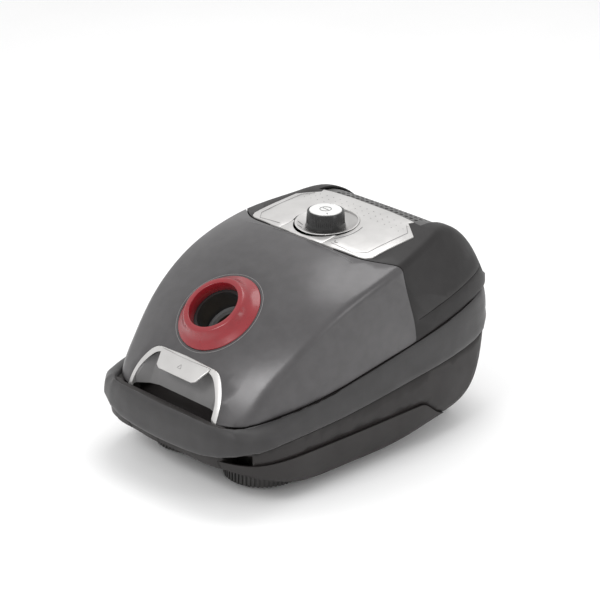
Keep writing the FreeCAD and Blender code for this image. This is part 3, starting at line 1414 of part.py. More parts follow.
def caster_parts():
    for side, left_right in ((0, "left"), (1, "right")):
        front = FRONT_CASTERS[side]
        rear = REAR_CASTERS[side]
        sign = "-" if side == 0 else ""
        freeform("front_turntable_" + left_right, ribbed_disc(front))
        caster_wheel("front_wheel_" + left_right, front.x, front.y + size("front_trail"),
                     "front_wheel_radius", "front_wheel_width")
        keep("front_axle_" + left_right,
             rod("front_axle_" + left_right,
                 ("%sfront_caster_x" % ("0 - " if sign else "") + " - 12",
                  "front_caster_y + front_trail", "front_wheel_radius"),
                 "caster_axle - 0.01", "24", X_AXIS))
        freeform("rear_fork_" + left_right, rear_fork(rear))
        caster_wheel("rear_wheel_" + left_right, rear.x, rear.y + size("rear_trail"),
                     "rear_wheel_radius", "rear_wheel_width")
        keep("rear_axle_" + left_right,
             rod("rear_axle_" + left_right,
                 ("%srear_caster_x" % ("0 - " if sign else "") + " - 10.5",
                  "rear_caster_y + rear_trail", "rear_wheel_radius"),
                 "caster_axle - 0.01", "21", X_AXIS))


def fasteners():
    """Screws that hold the belly pan."""
    screws = []
    for index, spot in enumerate(SCREW_SPOTS):
        shank = rod("screw_shank_%d" % (index + 1), ("%.1f" % spot.x, "%.1f" % spot.y, "17"), "1.8", "22")
        head = rod("screw_head_%d" % (index + 1), ("%.1f" % spot.x, "%.1f" % spot.y, "14.6"), "4", "2.4")
        screws.extend([shank, head])
    keep("pan_screws", fuse("pan_screws", *screws))


# ---------------------------------------------------------------- build, check, export

def check_and_export():
    doc.recompute()
    for item in doc.Objects:
        if "Invalid" in item.State or "Error" in item.State:
            raise RuntimeError("%s is %s" % (item.Name, item.State))
    os.makedirs("parts", exist_ok=True)
    for name, item in PARTS.items():
        shape = item.Shape
        if shape.isNull() or not shape.isValid():
            raise RuntimeError(name + " has no valid shape")
        shape.exportStep(os.path.join("parts", name + ".step"))


outer_shells()
latch_parts()
inlet_parts()
bag_parts()
knob_parts()
motor_parts()
filter_parts()
exhaust_filter_parts()
drum_parts()
cord_outlet()
caster_parts()
fasteners()
check_and_export()
print(len(PARTS), "sub-parts")
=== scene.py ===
"""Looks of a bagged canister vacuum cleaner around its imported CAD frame."""
import json
import math

import bmesh
import bpy
from mathutils import Matrix, Vector
from mathutils.bvhtree import BVHTree


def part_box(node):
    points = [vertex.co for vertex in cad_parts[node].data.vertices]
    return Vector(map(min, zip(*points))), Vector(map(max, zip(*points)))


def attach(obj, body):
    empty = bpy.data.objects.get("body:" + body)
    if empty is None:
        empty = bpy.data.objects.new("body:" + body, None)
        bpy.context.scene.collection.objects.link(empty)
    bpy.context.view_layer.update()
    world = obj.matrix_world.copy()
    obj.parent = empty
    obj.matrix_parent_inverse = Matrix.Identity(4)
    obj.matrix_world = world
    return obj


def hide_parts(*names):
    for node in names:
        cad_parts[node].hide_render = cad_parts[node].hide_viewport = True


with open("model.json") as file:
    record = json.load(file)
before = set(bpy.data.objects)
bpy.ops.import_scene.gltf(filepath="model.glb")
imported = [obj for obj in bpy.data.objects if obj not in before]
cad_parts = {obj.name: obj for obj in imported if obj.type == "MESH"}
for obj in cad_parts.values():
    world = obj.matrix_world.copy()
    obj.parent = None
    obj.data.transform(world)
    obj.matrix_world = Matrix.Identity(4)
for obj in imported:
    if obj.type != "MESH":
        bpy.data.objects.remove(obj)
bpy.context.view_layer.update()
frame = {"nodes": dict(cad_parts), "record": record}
NODES = frame["nodes"]
RECORD = frame["record"]
MM = 0.001

# ---------------------------------------------------------------- camera, light and floor

CAMERA_PLACE = Vector((2.0590, -1.9611, 1.3884))
CAMERA_RIGHT = Vector((0.68977, 0.72402, 0.0))
CAMERA_UP = Vector((-0.28290, 0.26951, 0.92050))
CAMERA_BACK = Vector((0.66646, -0.63494, 0.39073))
CAMERA_LENS = 142.0
SENSOR_WIDTH = 36.0
WORLD_STRENGTH = 0.85
LIGHT_TARGET = (0.0, 0.0, 0.12)
FLOOR_HALF = 12.0


def add_camera():
    data = bpy.data.cameras.new("camera")
    data.lens = CAMERA_LENS
    data.sensor_width = SENSOR_WIDTH
    data.clip_end = 20.0
    camera = bpy.data.objects.new("camera", data)
    bpy.context.scene.collection.objects.link(camera)
    turn = Matrix((CAMERA_RIGHT, CAMERA_UP, CAMERA_BACK)).transposed()
    camera.matrix_world = Matrix.Translation(CAMERA_PLACE) @ turn.to_4x4()
    bpy.context.scene.camera = camera


def add_area_light(name, place, target, size, power, colour=(1.0, 1.0, 1.0)):
    data = bpy.data.lights.new(name, "AREA")
    data.shape = "RECTANGLE"
    data.size, data.size_y = size
    data.energy = power
    data.color = colour
    light = bpy.data.objects.new(name, data)
    bpy.context.scene.collection.objects.link(light)
    aim = Vector(target) - Vector(place)
    light.location = place
    light.rotation_euler = aim.to_track_quat("-Z", "Y").to_euler()
    return light


def add_studio():
    """Pale floor that fades into a pale backdrop, one large key light and soft fills."""
    world = bpy.data.worlds.new("studio")
    world.use_nodes = True
    world.node_tree.nodes["Background"].inputs["Color"].default_value = (1.0, 1.0, 1.0, 1.0)
    world.node_tree.nodes["Background"].inputs["Strength"].default_value = WORLD_STRENGTH
    bpy.context.scene.world = world
    bpy.context.scene.view_settings.view_transform = "Standard"
    add_area_light("key", (0.15, -1.7, 1.55), LIGHT_TARGET, (0.9, 0.6), 14.0)
    add_area_light("side", (1.9, 0.5, 1.1), LIGHT_TARGET, (0.8, 0.8), 5.0)
    add_area_light("top", (-0.3, 0.6, 2.0), LIGHT_TARGET, (1.4, 1.0), 14.0)
    mesh = bpy.data.meshes.new("floor")
    corners = [(x * FLOOR_HALF, y * FLOOR_HALF, 0) for x, y in ((-1, -1), (1, -1), (1, 1), (-1, 1))]
    mesh.from_pydata(corners, [], [(0, 1, 2, 3)])
    floor = bpy.data.objects.new("floor", mesh)
    bpy.context.scene.collection.objects.link(floor)
    mesh.materials.append(studio_white())


def studio_white():
    """Pale matte floor with a faint unevenness."""
    make = Material("studio_white", (0.97, 0.97, 0.97), 0.7)
    make.shade(0.01, 3.0)
    return make.done()


# ---------------------------------------------------------------- materials

class Material:
    """A procedural material: a Principled shader with layers of noise in object space."""

    def __init__(self, name, colour, roughness, metallic=0.0, specular=0.5):
        self.material = bpy.data.materials.new(name)
        self.material.use_nodes = True
        self.tree = self.material.node_tree
        self.shader = self.tree.nodes["Principled BSDF"]
        self.shader.inputs["Base Color"].default_value = (*colour, 1.0)
        self.shader.inputs["Roughness"].default_value = roughness
        self.shader.inputs["Metallic"].default_value = metallic
        self.shader.inputs["Specular IOR Level"].default_value = specular
        self.colour = colour
        self.roughness = roughness
        self.place = self.tree.nodes.new("ShaderNodeTexCoord").outputs["Object"]
        self.height = None

    def link(self, output, target):
        self.tree.links.new(output, target)

    def set(self, **values):
        """Constants on the shader's own sockets, named as in its interface."""
        for key, value in values.items():
            self.shader.inputs[key.replace("_", " ").title()].default_value = value
        return self

    def noise(self, scale, detail=3.0, stretch=None):
        """Noise of so many cells a metre, drawn out along an axis by stretch."""
        node = self.tree.nodes.new("ShaderNodeTexNoise")
        node.inputs["Scale"].default_value = scale
        node.inputs["Detail"].default_value = detail
        if stretch is None:
            self.link(self.place, node.inputs["Vector"])
        else:
            mapping = self.tree.nodes.new("ShaderNodeMapping")
            mapping.inputs["Scale"].default_value = stretch
            self.link(self.place, mapping.inputs["Vector"])
            self.link(mapping.outputs["Vector"], node.inputs["Vector"])
        return node.outputs["Fac"]

    def ramp(self, value, low, high, out_low, out_high):
        """Map a value's range low to high onto out_low to out_high."""
        node = self.tree.nodes.new("ShaderNodeMapRange")
        node.inputs["From Min"].default_value = low
        node.inputs["From Max"].default_value = high
        node.inputs["To Min"].default_value = out_low
        node.inputs["To Max"].default_value = out_high
        self.link(value, node.inputs["Value"])
        return node.outputs["Result"]

    def shade(self, amount, scale, stretch=None):
        """Vary the colour's lightness by amount each way."""
        dark = tuple(part * (1.0 - amount) for part in self.colour)
        light = tuple(min(1.0, part * (1.0 + amount)) for part in self.colour)
        node = self.tree.nodes.new("ShaderNodeMix")
        node.data_type = "RGBA"
        node.inputs[6].default_value = (*dark, 1.0)
        node.inputs[7].default_value = (*light, 1.0)
        self.link(self.ramp(self.noise(scale, 4.0, stretch), 0.35, 0.65, 0.0, 1.0), node.inputs[0])
        self.link(node.outputs[2], self.shader.inputs["Base Color"])
        return self

    def worn(self, spread, scale):
        """Vary the roughness by spread each way."""
        value = self.ramp(self.noise(scale, 5.0), 0.3, 0.7,
                          max(0.02, self.roughness - spread), min(1.0, self.roughness + spread))
        self.link(value, self.shader.inputs["Roughness"])
        return self

    def grain(self, scale, depth, stretch=None, detail=2.0):
        """Raised grain, depth in metres; several calls lie on top of each other."""
        bump = self.tree.nodes.new("ShaderNodeBump")
        bump.inputs["Distance"].default_value = depth
        bump.inputs["Strength"].default_value = 1.0
        self.link(self.noise(scale, detail, stretch), bump.inputs["Height"])
        if self.height is not None:
            self.link(self.height, bump.inputs["Normal"])
        self.height = bump.outputs["Normal"]
        return self

    def weave(self, pitch, depth):
        """Fine crossed threads."""
        for direction in ("X", "Y"):
            wave = self.tree.nodes.new("ShaderNodeTexWave")
            wave.bands_direction = direction
            wave.inputs["Scale"].default_value = 0.05 / pitch
            wave.inputs["Distortion"].default_value = 0.6
            self.link(self.place, wave.inputs["Vector"])
            bump = self.tree.nodes.new("ShaderNodeBump")
            bump.inputs["Distance"].default_value = depth
            self.link(wave.outputs["Fac"], bump.inputs["Height"])
            if self.height is not None:
                self.link(self.height, bump.inputs["Normal"])
            self.height = bump.outputs["Normal"]
        return self

    def done(self):
        if self.height is not None:
            self.link(self.height, self.shader.inputs["Normal"])
        return self.material


def lid_grey():
    make = Material("lid_grey", (0.072, 0.069, 0.071), 0.36, 0.35)
    make.shade(0.07, 60.0).worn(0.04, 25.0).grain(2600.0, 0.00003)
    make.set(coat_weight=0.25, coat_roughness=0.18)
    return make.done()


def housing_grey():
    make = Material("housing_grey", (0.014, 0.0125, 0.0125), 0.44, 0.0, 0.3)
    make.shade(0.08, 40.0).worn(0.06, 30.0).grain(1500.0, 0.00006)
    return make.done()


def base_dark():
    make = Material("base_dark", (0.020, 0.0175, 0.017), 0.5, 0.0, 0.35)
    make.shade(0.1, 30.0).worn(0.07, 20.0).grain(1400.0, 0.00007)
    return make.done()


def bumper_rubber():
    make = Material("bumper_rubber", (0.030, 0.0285, 0.029), 0.56, 0.0, 0.4)
    make.shade(0.08, 45.0).worn(0.06, 35.0).grain(1800.0, 0.00008).grain(300.0, 0.00006)
    make.set(sheen_weight=0.15, sheen_roughness=0.5)
    return make.done()


def silver_trim():
    make = Material("silver_trim", (0.60, 0.59, 0.58), 0.33, 0.6)
    make.shade(0.03, 50.0).worn(0.04, 60.0).grain(3000.0, 0.00002)
    return make.done()


def grip_grey():
    make = Material("grip_grey", (0.20, 0.196, 0.196), 0.45)
    make.shade(0.05, 40.0).worn(0.05, 40.0).grain(1700.0, 0.00005)
    return make.done()


def red_gloss():
    make = Material("red_gloss", (0.24, 0.012, 0.018), 0.3)
    make.shade(0.06, 45.0).worn(0.05, 60.0).grain(2200.0, 0.00003)
    make.set(coat_weight=0.3, coat_roughness=0.15)
    return make.done()


def black_gloss():
    make = Material("black_gloss", (0.012, 0.012, 0.012), 0.2)
    make.worn(0.06, 90.0).grain(1500.0, 0.00002)
    return make.done()


def white_silver():
    make = Material("white_silver", (0.80, 0.80, 0.79), 0.28, 0.2)
    make.shade(0.02, 60.0).worn(0.04, 80.0)
    return make.done()


def black_plastic():
    make = Material("black_plastic", (0.020, 0.020, 0.020), 0.42)
    make.shade(0.1, 50.0).worn(0.08, 40.0).grain(1500.0, 0.00005)
    return make.done()


def seal_grey():
    make = Material("seal_grey", (0.13, 0.13, 0.13), 0.5)
    make.shade(0.06, 60.0).worn(0.05, 60.0).grain(1800.0, 0.00005)
    return make.done()


def soft_rubber():
    make = Material("soft_rubber", (0.028, 0.028, 0.028), 0.65)
    make.shade(0.1, 60.0).worn(0.05, 50.0).grain(1600.0, 0.00006)
    return make.done()


def caster_dark():
    make = Material("caster_dark", (0.045, 0.043, 0.042), 0.45)
    make.shade(0.1, 50.0).worn(0.08, 40.0).grain(1500.0, 0.00006)
    return make.done()


def wheel_tyre():
    make = Material("wheel_tyre", (0.070, 0.070, 0.072), 0.7)
    make.shade(0.15, 80.0).worn(0.06, 50.0).grain(1200.0, 0.0001)
    return make.done()


def grille_dark():
    make = Material("grille_dark", (0.085, 0.083, 0.082), 0.45)
    make.shade(0.08, 50.0).worn(0.06, 40.0).grain(1500.0, 0.00005)
    return make.done()


def steel():
    make = Material("steel", (0.56, 0.56, 0.57), 0.28, 1.0)
    make.worn(0.08, 120.0).grain(500.0, 0.00002, (1.0, 1.0, 14.0))
    return make.done()


def copper():
    make = Material("copper", (0.60, 0.25, 0.12), 0.35, 0.9)
    make.shade(0.15, 200.0).grain(900.0, 0.0002, (1.0, 8.0, 1.0))
    return make.done()


def aluminium():
    make = Material("aluminium", (0.72, 0.72, 0.73), 0.3, 1.0)
    make.worn(0.1, 90.0).grain(700.0, 0.00003, (12.0, 1.0, 1.0))
    return make.done()


def carbon():
    make = Material("carbon", (0.03, 0.03, 0.032), 0.55)
    make.shade(0.2, 300.0).grain(2500.0, 0.0001)
    return make.done()


def board_green():
    make = Material("board_green", (0.03, 0.15, 0.07), 0.35)
    make.shade(0.12, 140.0).worn(0.1, 90.0)
    return make.done()


def bag_fabric():
    make = Material("bag_fabric", (0.74, 0.73, 0.69), 0.9)
    make.shade(0.06, 90.0).grain(900.0, 0.0004).weave(0.0012, 0.0001)
    make.set(sheen_weight=0.4, sheen_roughness=0.6)
    return make.done()


def card():
    make = Material("card", (0.50, 0.41, 0.29), 0.8)
    make.shade(0.1, 150.0, (1.0, 5.0, 1.0)).grain(1500.0, 0.0001)
    return make.done()


def foam():
    make = Material("foam", (0.07, 0.07, 0.075), 0.95)
    make.shade(0.4, 900.0).grain(1100.0, 0.0008)
    return make.done()


def filter_paper():
    make = Material("filter_paper", (0.84, 0.84, 0.82), 0.9)
    make.shade(0.04, 200.0).grain(1800.0, 0.0001)
    return make.done()


MATERIAL_MAKERS = (
    lid_grey, housing_grey, base_dark, bumper_rubber, silver_trim, grip_grey, red_gloss,
    black_gloss, white_silver, black_plastic, seal_grey, soft_rubber, caster_dark, wheel_tyre,
    grille_dark, steel, copper, aluminium, carbon, board_green, bag_fabric, card, foam,
    filter_paper,
)


def make_materials():
    """One finished material for each slot of the record."""
    return {maker.__name__: maker() for maker in MATERIAL_MAKERS}


def dress_nodes(materials):
    """Give every CAD node the material of its slot."""
    for subpart in RECORD["subparts"]:
        node = NODES[subpart["node"]]
        node.data.materials.clear()
        node.data.materials.append(materials[subpart["material_slot"]])


# ---------------------------------------------------------------- pieces that stand for CAD nodes

def slot_of(node):
    for subpart in RECORD["subparts"]:
        if subpart["node"] == node:
            return subpart["material_slot"]
    return None


def body_of_node(node):
    for body, members in RECORD["behaviour"]["bodies"].items():
        if node in members:
            return body
    return "root"


def place_piece(name, mesh, body, slot):
    """Link a finished mesh as a piece with its material, riding on a CAD body."""
    piece = bpy.data.objects.new(name, mesh)
    bpy.context.scene.collection.objects.link(piece)
    mesh.materials.clear()
    mesh.materials.append(MATERIALS[slot])
    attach(piece, body)
    return piece


def mesh_from(form, name, smooth_angle=35.0):
    """Finish a bmesh as a mesh with smooth faces and crisp edges."""
    bmesh.ops.recalc_face_normals(form, faces=form.faces)
    mesh = bpy.data.meshes.new(name)
    form.to_mesh(mesh)
    form.free()
    mesh.shade_smooth()
    mesh.set_sharp_from_angle(angle=math.radians(smooth_angle))
    return mesh


def welded_copy(node, weld=0.02 * MM):
    """The node's mesh with its separate faces joined at their edges."""
    form = bmesh.new()
    form.from_mesh(NODES[node].data)
    bmesh.ops.remove_doubles(form, verts=form.verts, dist=weld)
    return form


def refine(node, bevel=0.0, segments=2, smooth_angle=35.0, flat_angle=2.0):
    """Stand-in for a CAD node: the same shape with welded faces and softly rounded edges."""
    form = welded_copy(node)
    if bevel:
        bmesh.ops.dissolve_limit(form, angle_limit=math.radians(flat_angle),
                                 verts=form.verts, edges=form.edges)
        sharp = [edge for edge in form.edges
                 if len(edge.link_faces) == 2 and edge.calc_face_angle() > math.radians(40.0)]
        bmesh.ops.bevel(form, geom=sharp, offset=bevel, segments=segments, profile=0.5,
                        affect="EDGES", clamp_overlap=True)
    bmesh.ops.triangulate(form, faces=[face for face in form.faces if len(face.verts) > 4])
    mesh = mesh_from(form, node + "_skin", smooth_angle)
    piece = place_piece(node + "_skin", mesh, body_of_node(node), slot_of(node))
    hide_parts(node)
    return piece


def soften_band(node, rounds):
    """Stand-in for a rubber node: its points averaged with their neighbours, so it has no facets."""
    form = welded_copy(node)
    bmesh.ops.join_triangles(form, faces=form.faces, angle_face_threshold=math.radians(30.0),
                             angle_shape_threshold=math.radians(60.0))
    for _ in range(rounds):
        bmesh.ops.smooth_vert(form, verts=form.verts, factor=0.35, use_axis_x=True,
                              use_axis_y=True, use_axis_z=True)
    mesh = mesh_from(form, node + "_skin", 50.0)
    piece = place_piece(node + "_skin", mesh, body_of_node(node), slot_of(node))
    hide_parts(node)
    return piece


# ---------------------------------------------------------------- printed lines and small marks

DOWN = Vector((0.0, 0.0, -1.0))
LINE_STEP = 2.5 * MM
LINE_PROUD = 0.2
RAY_START = 0.2


def surface_of(*nodes):
    """Search tree over the faces of some CAD nodes."""
    points = []
    faces = []
    for node in nodes:
        mesh = NODES[node].data
        base = len(points)
        points.extend(vertex.co.copy() for vertex in mesh.vertices)
        faces.extend([index + base for index in face.vertices] for face in mesh.polygons)
    return BVHTree.FromPolygons(points, faces)


def spaced(points, step, closed=False):
    """Points at most a step apart along a polyline."""
    corners = [Vector(point) for point in points]
    if closed:
        corners.append(corners[0].copy())
    dense = [corners[0]]
    for here, following in zip(corners, corners[1:]):
        count = max(1, math.ceil((following - here).length / step))
        dense.extend(here.lerp(following, index / count) for index in range(1, count + 1))
    return dense[:-1] if closed else dense


def arc(centre, radius, first, last, count=24):
    """Points on a level circle, angles in degrees."""
    turns = [math.radians(first + (last - first) * index / (count - 1)) for index in range(count)]
    return [Vector(centre) + Vector((math.cos(turn), math.sin(turn), 0.0)) * radius for turn in turns]


def tube_mesh(name, points, radius, closed=False):
    """Round tube through points, as a mesh."""
    curve = bpy.data.curves.new(name, "CURVE")
    curve.dimensions = "3D"
    curve.bevel_depth = radius
    curve.bevel_resolution = 2
    curve.use_fill_caps = not closed
    spline = curve.splines.new("POLY")
    spline.points.add(len(points) - 1)
    for spot, point in zip(spline.points, points):
        spot.co = (*point, 1.0)
    spline.use_cyclic_u = closed
    holder = bpy.data.objects.new(name, curve)
    mesh = bpy.data.meshes.new_from_object(holder)
    bpy.data.objects.remove(holder)
    mesh.name = name
    mesh.shade_smooth()
    return mesh


def drawn_line(name, points, radius, nodes, body, slot, closed=False, look=DOWN):
    """Fine raised line laid on the surface of some nodes, seen along a direction."""
    tree = surface_of(*nodes)
    laid = []
    for point in spaced(points, LINE_STEP, closed):
        hit, normal, _, _ = tree.ray_cast(point - look * RAY_START, look)
        if hit is not None:
            outward = -normal if normal.dot(look) > 0.0 else normal
            laid.append(hit + outward * LINE_PROUD * radius)
    if len(laid) < 2:
        return None
    return place_piece(name, tube_mesh(name, laid, radius, closed), body, slot)


def panel_marks():
    """Inner field line, ventilation dots and scale of the control panel."""
    low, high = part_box("control_panel")
    knob_low, knob_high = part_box("speed_knob")
    centre = Vector((0.0, (knob_low.y + knob_high.y) / 2.0, high.z))
    side = high.x - 11.0 * MM
    front = low.y + 9.0 * MM
    back = high.y - 27.0 * MM
    for name, sign in (("left", -1.0), ("right", 1.0)):
        inner = (sign * 48.0 * MM, front - 1.0 * MM)
        line = [(*inner, centre.z), (sign * (side - 12.0 * MM), front, centre.z),
                (sign * side, front + 14.0 * MM, centre.z), (sign * side, back, centre.z),
                (sign * (side - 14.0 * MM), back + 12.0 * MM, centre.z)]
        drawn_line("panel_field_line_" + name, line, 0.35 * MM, ["control_panel"], "root", "grip_grey")
    scale = arc(centre, 52.0 * MM, -32.0, 22.0)
    drawn_line("power_scale_arc", scale, 0.3 * MM, ["control_panel"], "root", "black_plastic")
    corner = centre + Vector((51.0, -33.0, 0.0)) * MM
    mark = [corner + Vector((-3.0, 3.5, 0.0)) * MM, corner, corner + Vector((4.0, 1.0, 0.0)) * MM]
    drawn_line("low_power_mark", mark, 0.35 * MM, ["control_panel"], "root", "black_plastic")
    tree = surface_of("control_panel")
    form = bmesh.new()
    for row in range(3):
        for column in range(-7, 8):
            place = Vector((column * 12.5 * MM, high.y - (15.0 + 9.0 * row) * MM, high.z))
            hit, normal, _, _ = tree.ray_cast(place + Vector((0.0, 0.0, 0.1)), DOWN)
            if hit is None or abs(hit.z - high.z) > 15.0 * MM:
                continue
            made = bmesh.ops.create_icosphere(form, subdivisions=2, radius=0.7 * MM)
            for vertex in made["verts"]:
                vertex.co.z *= 0.35
                vertex.co += hit
    mesh = mesh_from(form, "panel_dots")
    place_piece("panel_dots", mesh, "root", "grip_grey")


def knob_marks():
    """Ring and bar on the power button, pointer on the knob and ticks in its dish."""
    low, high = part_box("power_button")
    centre = Vector(((low.x + high.x) / 2.0, (low.y + high.y) / 2.0, high.z))
    ring = arc(centre, 7.5 * MM, 0.0, 352.5, 48)
    drawn_line("power_ring", ring, 0.4 * MM, ["power_button"], "button", "black_plastic", True)
    bar = [centre + Vector((-5.0 * MM, 0.0, 0.0)), centre + Vector((5.0 * MM, 0.0, 0.0))]
    drawn_line("power_bar", bar, 0.4 * MM, ["power_button"], "button", "black_plastic")
    aim = Vector((math.cos(math.radians(-38.0)), math.sin(math.radians(-38.0)), 0.0))
    pointer = [centre + aim * 15.5 * MM, centre + aim * 20.0 * MM]
    drawn_line("power_pointer", pointer, 0.5 * MM, ["power_button"], "button", "black_plastic")
    for index, angle in enumerate((-148.0, -128.0, -52.0, -32.0)):
        aim = Vector((math.cos(math.radians(angle)), math.sin(math.radians(angle)), 0.0))
        tick = [centre + aim * 31.0 * MM, centre + aim * 37.0 * MM]
        drawn_line("dish_tick_%d" % index, tick, 0.35 * MM, ["knob_bezel"], "root", "black_plastic")


RIDGE_COUNT = 60
RIDGE_HALF_WIDTH = 0.5 * MM
RIDGE_PROUD = 0.45 * MM
RIDGE_SUNK = 0.6 * MM
RIDGE_LEVELS = ((-19.0 * MM, 25.0 * MM), (-3.5 * MM, 24.1 * MM))


def knob_ridges():
    """Fine upright grip ridges round the knob's skirt."""
    low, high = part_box("speed_knob")
    centre = (low + high) / 2.0
    form = bmesh.new()
    for index in range(RIDGE_COUNT):
        turn = 2.0 * math.pi * index / RIDGE_COUNT
        out = Vector((math.cos(turn), math.sin(turn), 0.0))
        aside = Vector((-out.y, out.x, 0.0))
        corners = []
        for drop, radius in RIDGE_LEVELS:
            base = Vector((centre.x, centre.y, high.z + drop)) + out * radius
            corners.append([base - aside * RIDGE_HALF_WIDTH, base + out * RIDGE_PROUD,
                            base + aside * RIDGE_HALF_WIDTH, base - out * RIDGE_SUNK])
        rings = [[form.verts.new(corner) for corner in level] for level in corners]
        for step in range(4):
            form.faces.new((rings[0][step], rings[0][(step + 1) % 4],
                            rings[1][(step + 1) % 4], rings[1][step]))
        form.faces.new(rings[0][::-1])
        form.faces.new(rings[1])
    place_piece("knob_ridges", mesh_from(form, "knob_ridges"), "knob", "black_gloss")


def lid_marks():
    """Painted highlight line in front of the panel, light ring round the hose flange, arrow on the
    latch.
    """
    low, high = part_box("control_panel")
    # The light grey line in front of the panel is a painted highlight, standing for light caught on
    # the lid's rear edge flange.
    line = [((index - 20) * 5.0 * MM, low.y - 4.0 * MM, high.z) for index in range(41)]
    drawn_line("lid_painted_highlight_line", line, 0.3 * MM, ["lid_shell"], "lid", "grip_grey")
    inlet = inlet_mount()
    mouth = Vector(inlet["pos_m"])
    axis = Vector(inlet["axis"]).normalized()
    aside = Vector((1.0, 0.0, 0.0))
    along = axis.cross(aside)
    tree = surface_of("lid_shell")
    ring = []
    for index in range(96):
        turn = 2.0 * math.pi * index / 96
        place = mouth + (aside * math.cos(turn) + along * math.sin(turn)) * 61.5 * MM
        hit, normal, _, _ = tree.ray_cast(place + axis * 0.1, -axis)
        if hit is not None:
            ring.append(hit)
    if len(ring) > 80:
        mesh = tube_mesh("flange_light_ring", ring, 0.45 * MM, True)
        place_piece("flange_light_ring", mesh, "lid", "grip_grey")
    low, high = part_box("latch_button")
    middle = (low + high) / 2.0
    out = Vector((0.0, -0.63, 0.777))
    up = Vector((0.0, 0.777, 0.63))
    corners = [(0.0, 3.2), (-3.4, -2.4), (3.4, -2.4)]
    arrow = [middle + Vector((x * MM, 0.0, 0.0)) + up * (y * MM) + out * 0.01 for x, y in corners]
    drawn_line("latch_arrow", arrow, 0.3 * MM, ["latch_button"], "latch", "grip_grey", True, -out)


def inlet_mount():
    """The record's entry for the mouth that takes the hose."""
    return next(mount for mount in RECORD["mounts"] if mount["name"] == "hose_inlet")


# ---------------------------------------------------------------- dust bag

BAG_VOXEL = 5.5 * MM
BAG_SHRINK = 4.0
BAG_CORNER_SHRINK = 9.0
BAG_PRESSURE = 4.0
BAG_FRAMES = 10
BAG_SWELL_CAP = 5.0 * MM
BAG_SEAM_SHARE = 0.42
BAG_COLLAR_Y = -0.11
BAG_MIDDLE_Y = -0.072


def soft_bag():
    """Fleece dust bag blown up inside the space of its CAD solid, with a welded edge seam."""
    low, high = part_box("dust_bag")
    form = welded_copy("dust_bag")
    mesh = mesh_from(form, "dust_bag_cloth", 180.0)
    piece = place_piece("dust_bag_cloth", mesh, "root", "bag_fabric")
    apply_modifier(piece, "REMESH", mode="VOXEL", voxel_size=BAG_VOXEL, use_smooth_shade=True)
    rest = [vertex.co.copy() for vertex in piece.data.vertices]
    middle = (low + high) / 2.0
    normals = [vertex.normal.copy() for vertex in piece.data.vertices]
    for vertex, place, normal in zip(piece.data.vertices, rest, normals):
        spread = Vector([2.0 * (place[axis] - middle[axis]) / (high[axis] - low[axis])
                         for axis in range(3)])
        corner = max(0.0, spread.length - 1.0)
        vertex.co = place - normal * (BAG_SHRINK + BAG_CORNER_SHRINK * corner) * MM
        vertex.co.z += crease_depth(place) * normal.z * MM
    inflate(piece, BAG_PRESSURE, BAG_FRAMES, BAG_SWELL_CAP)
    apply_modifier(piece, "SUBSURF", levels=1, render_levels=1)
    piece.data.shade_smooth()
    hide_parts("dust_bag")
    seam_height = low.z + BAG_SEAM_SHARE * (high.z - low.z)
    seam = seam_round(piece, seam_height)
    place_piece("bag_edge_seam", seam, "root", "bag_fabric")


def crease_depth(place):
    """Shallow folds that run from the collar to the bag's corners, in millimetres."""
    angle = math.atan2(place.y - BAG_COLLAR_Y, place.x)
    reach = math.hypot(place.x, place.y - BAG_COLLAR_Y)
    return -2.2 * (0.5 + 0.5 * math.sin(11.0 * angle + 14.0 * reach)) * min(1.0, reach / 0.08)


def apply_modifier(piece, kind, **settings):
    """Add one modifier to a piece and apply it to the mesh."""
    modifier = piece.modifiers.new(kind.lower(), kind)
    for key, value in settings.items():
        setattr(modifier, key, value)
    bpy.context.view_layer.update()
    graph = bpy.context.evaluated_depsgraph_get()
    mesh = bpy.data.meshes.new_from_object(piece.evaluated_get(graph))
    piece.modifiers.clear()
    old = piece.data
    slots = list(old.materials)
    piece.data = mesh
    mesh.materials.clear()
    for material in slots:
        mesh.materials.append(material)
    bpy.data.meshes.remove(old)


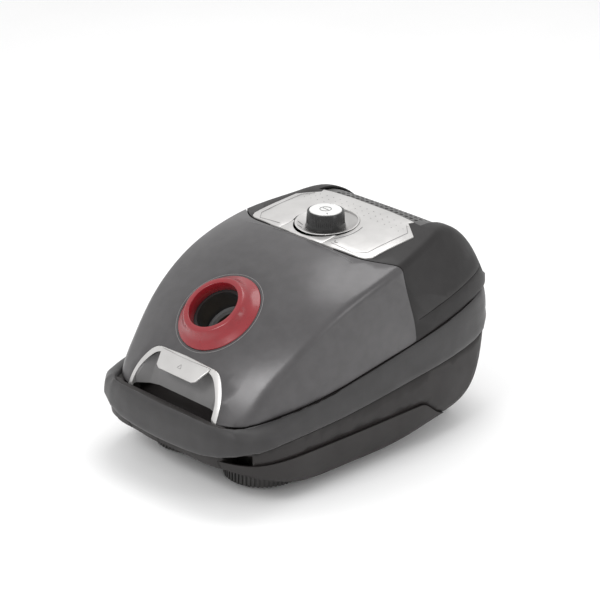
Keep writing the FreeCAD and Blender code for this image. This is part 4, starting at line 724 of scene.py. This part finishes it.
def inflate(piece, pressure, last_frame, cap):
    """Cloth pressure for a few frames; no point moves further than the cap."""
    start = [vertex.co.copy() for vertex in piece.data.vertices]
    modifier = piece.modifiers.new("cloth", "CLOTH")
    modifier.settings.use_pressure = True
    modifier.settings.uniform_pressure_force = pressure
    modifier.settings.effector_weights.gravity = 0.0
    modifier.settings.quality = 4
    scene = bpy.context.scene
    for step in range(1, last_frame + 1):
        scene.frame_set(step)
    graph = bpy.context.evaluated_depsgraph_get()
    shaped = piece.evaluated_get(graph).to_mesh()
    moved = [vertex.co.copy() for vertex in shaped.vertices]
    piece.evaluated_get(graph).to_mesh_clear()
    piece.modifiers.clear()
    scene.frame_set(1)
    for vertex, begin, end in zip(piece.data.vertices, start, moved):
        shift = end - begin
        if shift.length > cap:
            shift.length = cap
        vertex.co = begin + shift


def seam_round(piece, height):
    """Flat welded seam standing out from the bag's outline at one height."""
    tree = BVHTree.FromPolygons([vertex.co for vertex in piece.data.vertices],
                                [face.vertices for face in piece.data.polygons])
    middle = Vector((0.0, BAG_MIDDLE_Y, height))
    form = bmesh.new()
    rings = []
    count = 120
    for index in range(count):
        turn = 2.0 * math.pi * index / count
        out = Vector((math.cos(turn), math.sin(turn), 0.0))
        hit, _, _, _ = tree.ray_cast(middle + out * 0.4, -out)
        lift = 0.6 * MM * math.sin(9.0 * turn)
        base = hit + Vector((0.0, 0.0, lift))
        rings.append([form.verts.new(base + out * reach + Vector((0.0, 0.0, level)))
                      for reach, level in ((-1.5 * MM, 0.5 * MM), (3.5 * MM, 0.4 * MM),
                                           (3.5 * MM, -0.4 * MM), (-1.5 * MM, -0.5 * MM))])
    for index in range(count):
        here = rings[index]
        following = rings[(index + 1) % count]
        for step in range(4):
            form.faces.new((here[step], following[step], following[(step + 1) % 4],
                            here[(step + 1) % 4]))
    return mesh_from(form, "bag_edge_seam", 60.0)


MATERIALS = make_materials()
add_camera()
add_studio()
dress_nodes(MATERIALS)

BEVELS = {
    "latch_button": 0.8, "arch_trim": 0.4, "control_panel": 0.5, "knob_bezel": 0.4,
    "exhaust_cover": 0.6, "power_button": 0.5, "carry_rail": 1.2, "inlet_collar": 0.8,
    "speed_knob": 0.6, "lid_shell": 0.6, "rear_housing": 0.6,
}
for node, width in BEVELS.items():
    refine(node, width * MM)
for node in ("chassis_tub", "belly_pan", "grip_wall"):
    refine(node)
soften_band("bumper_band", 2)
panel_marks()
knob_marks()
knob_ridges()
lid_marks()
soft_bag()
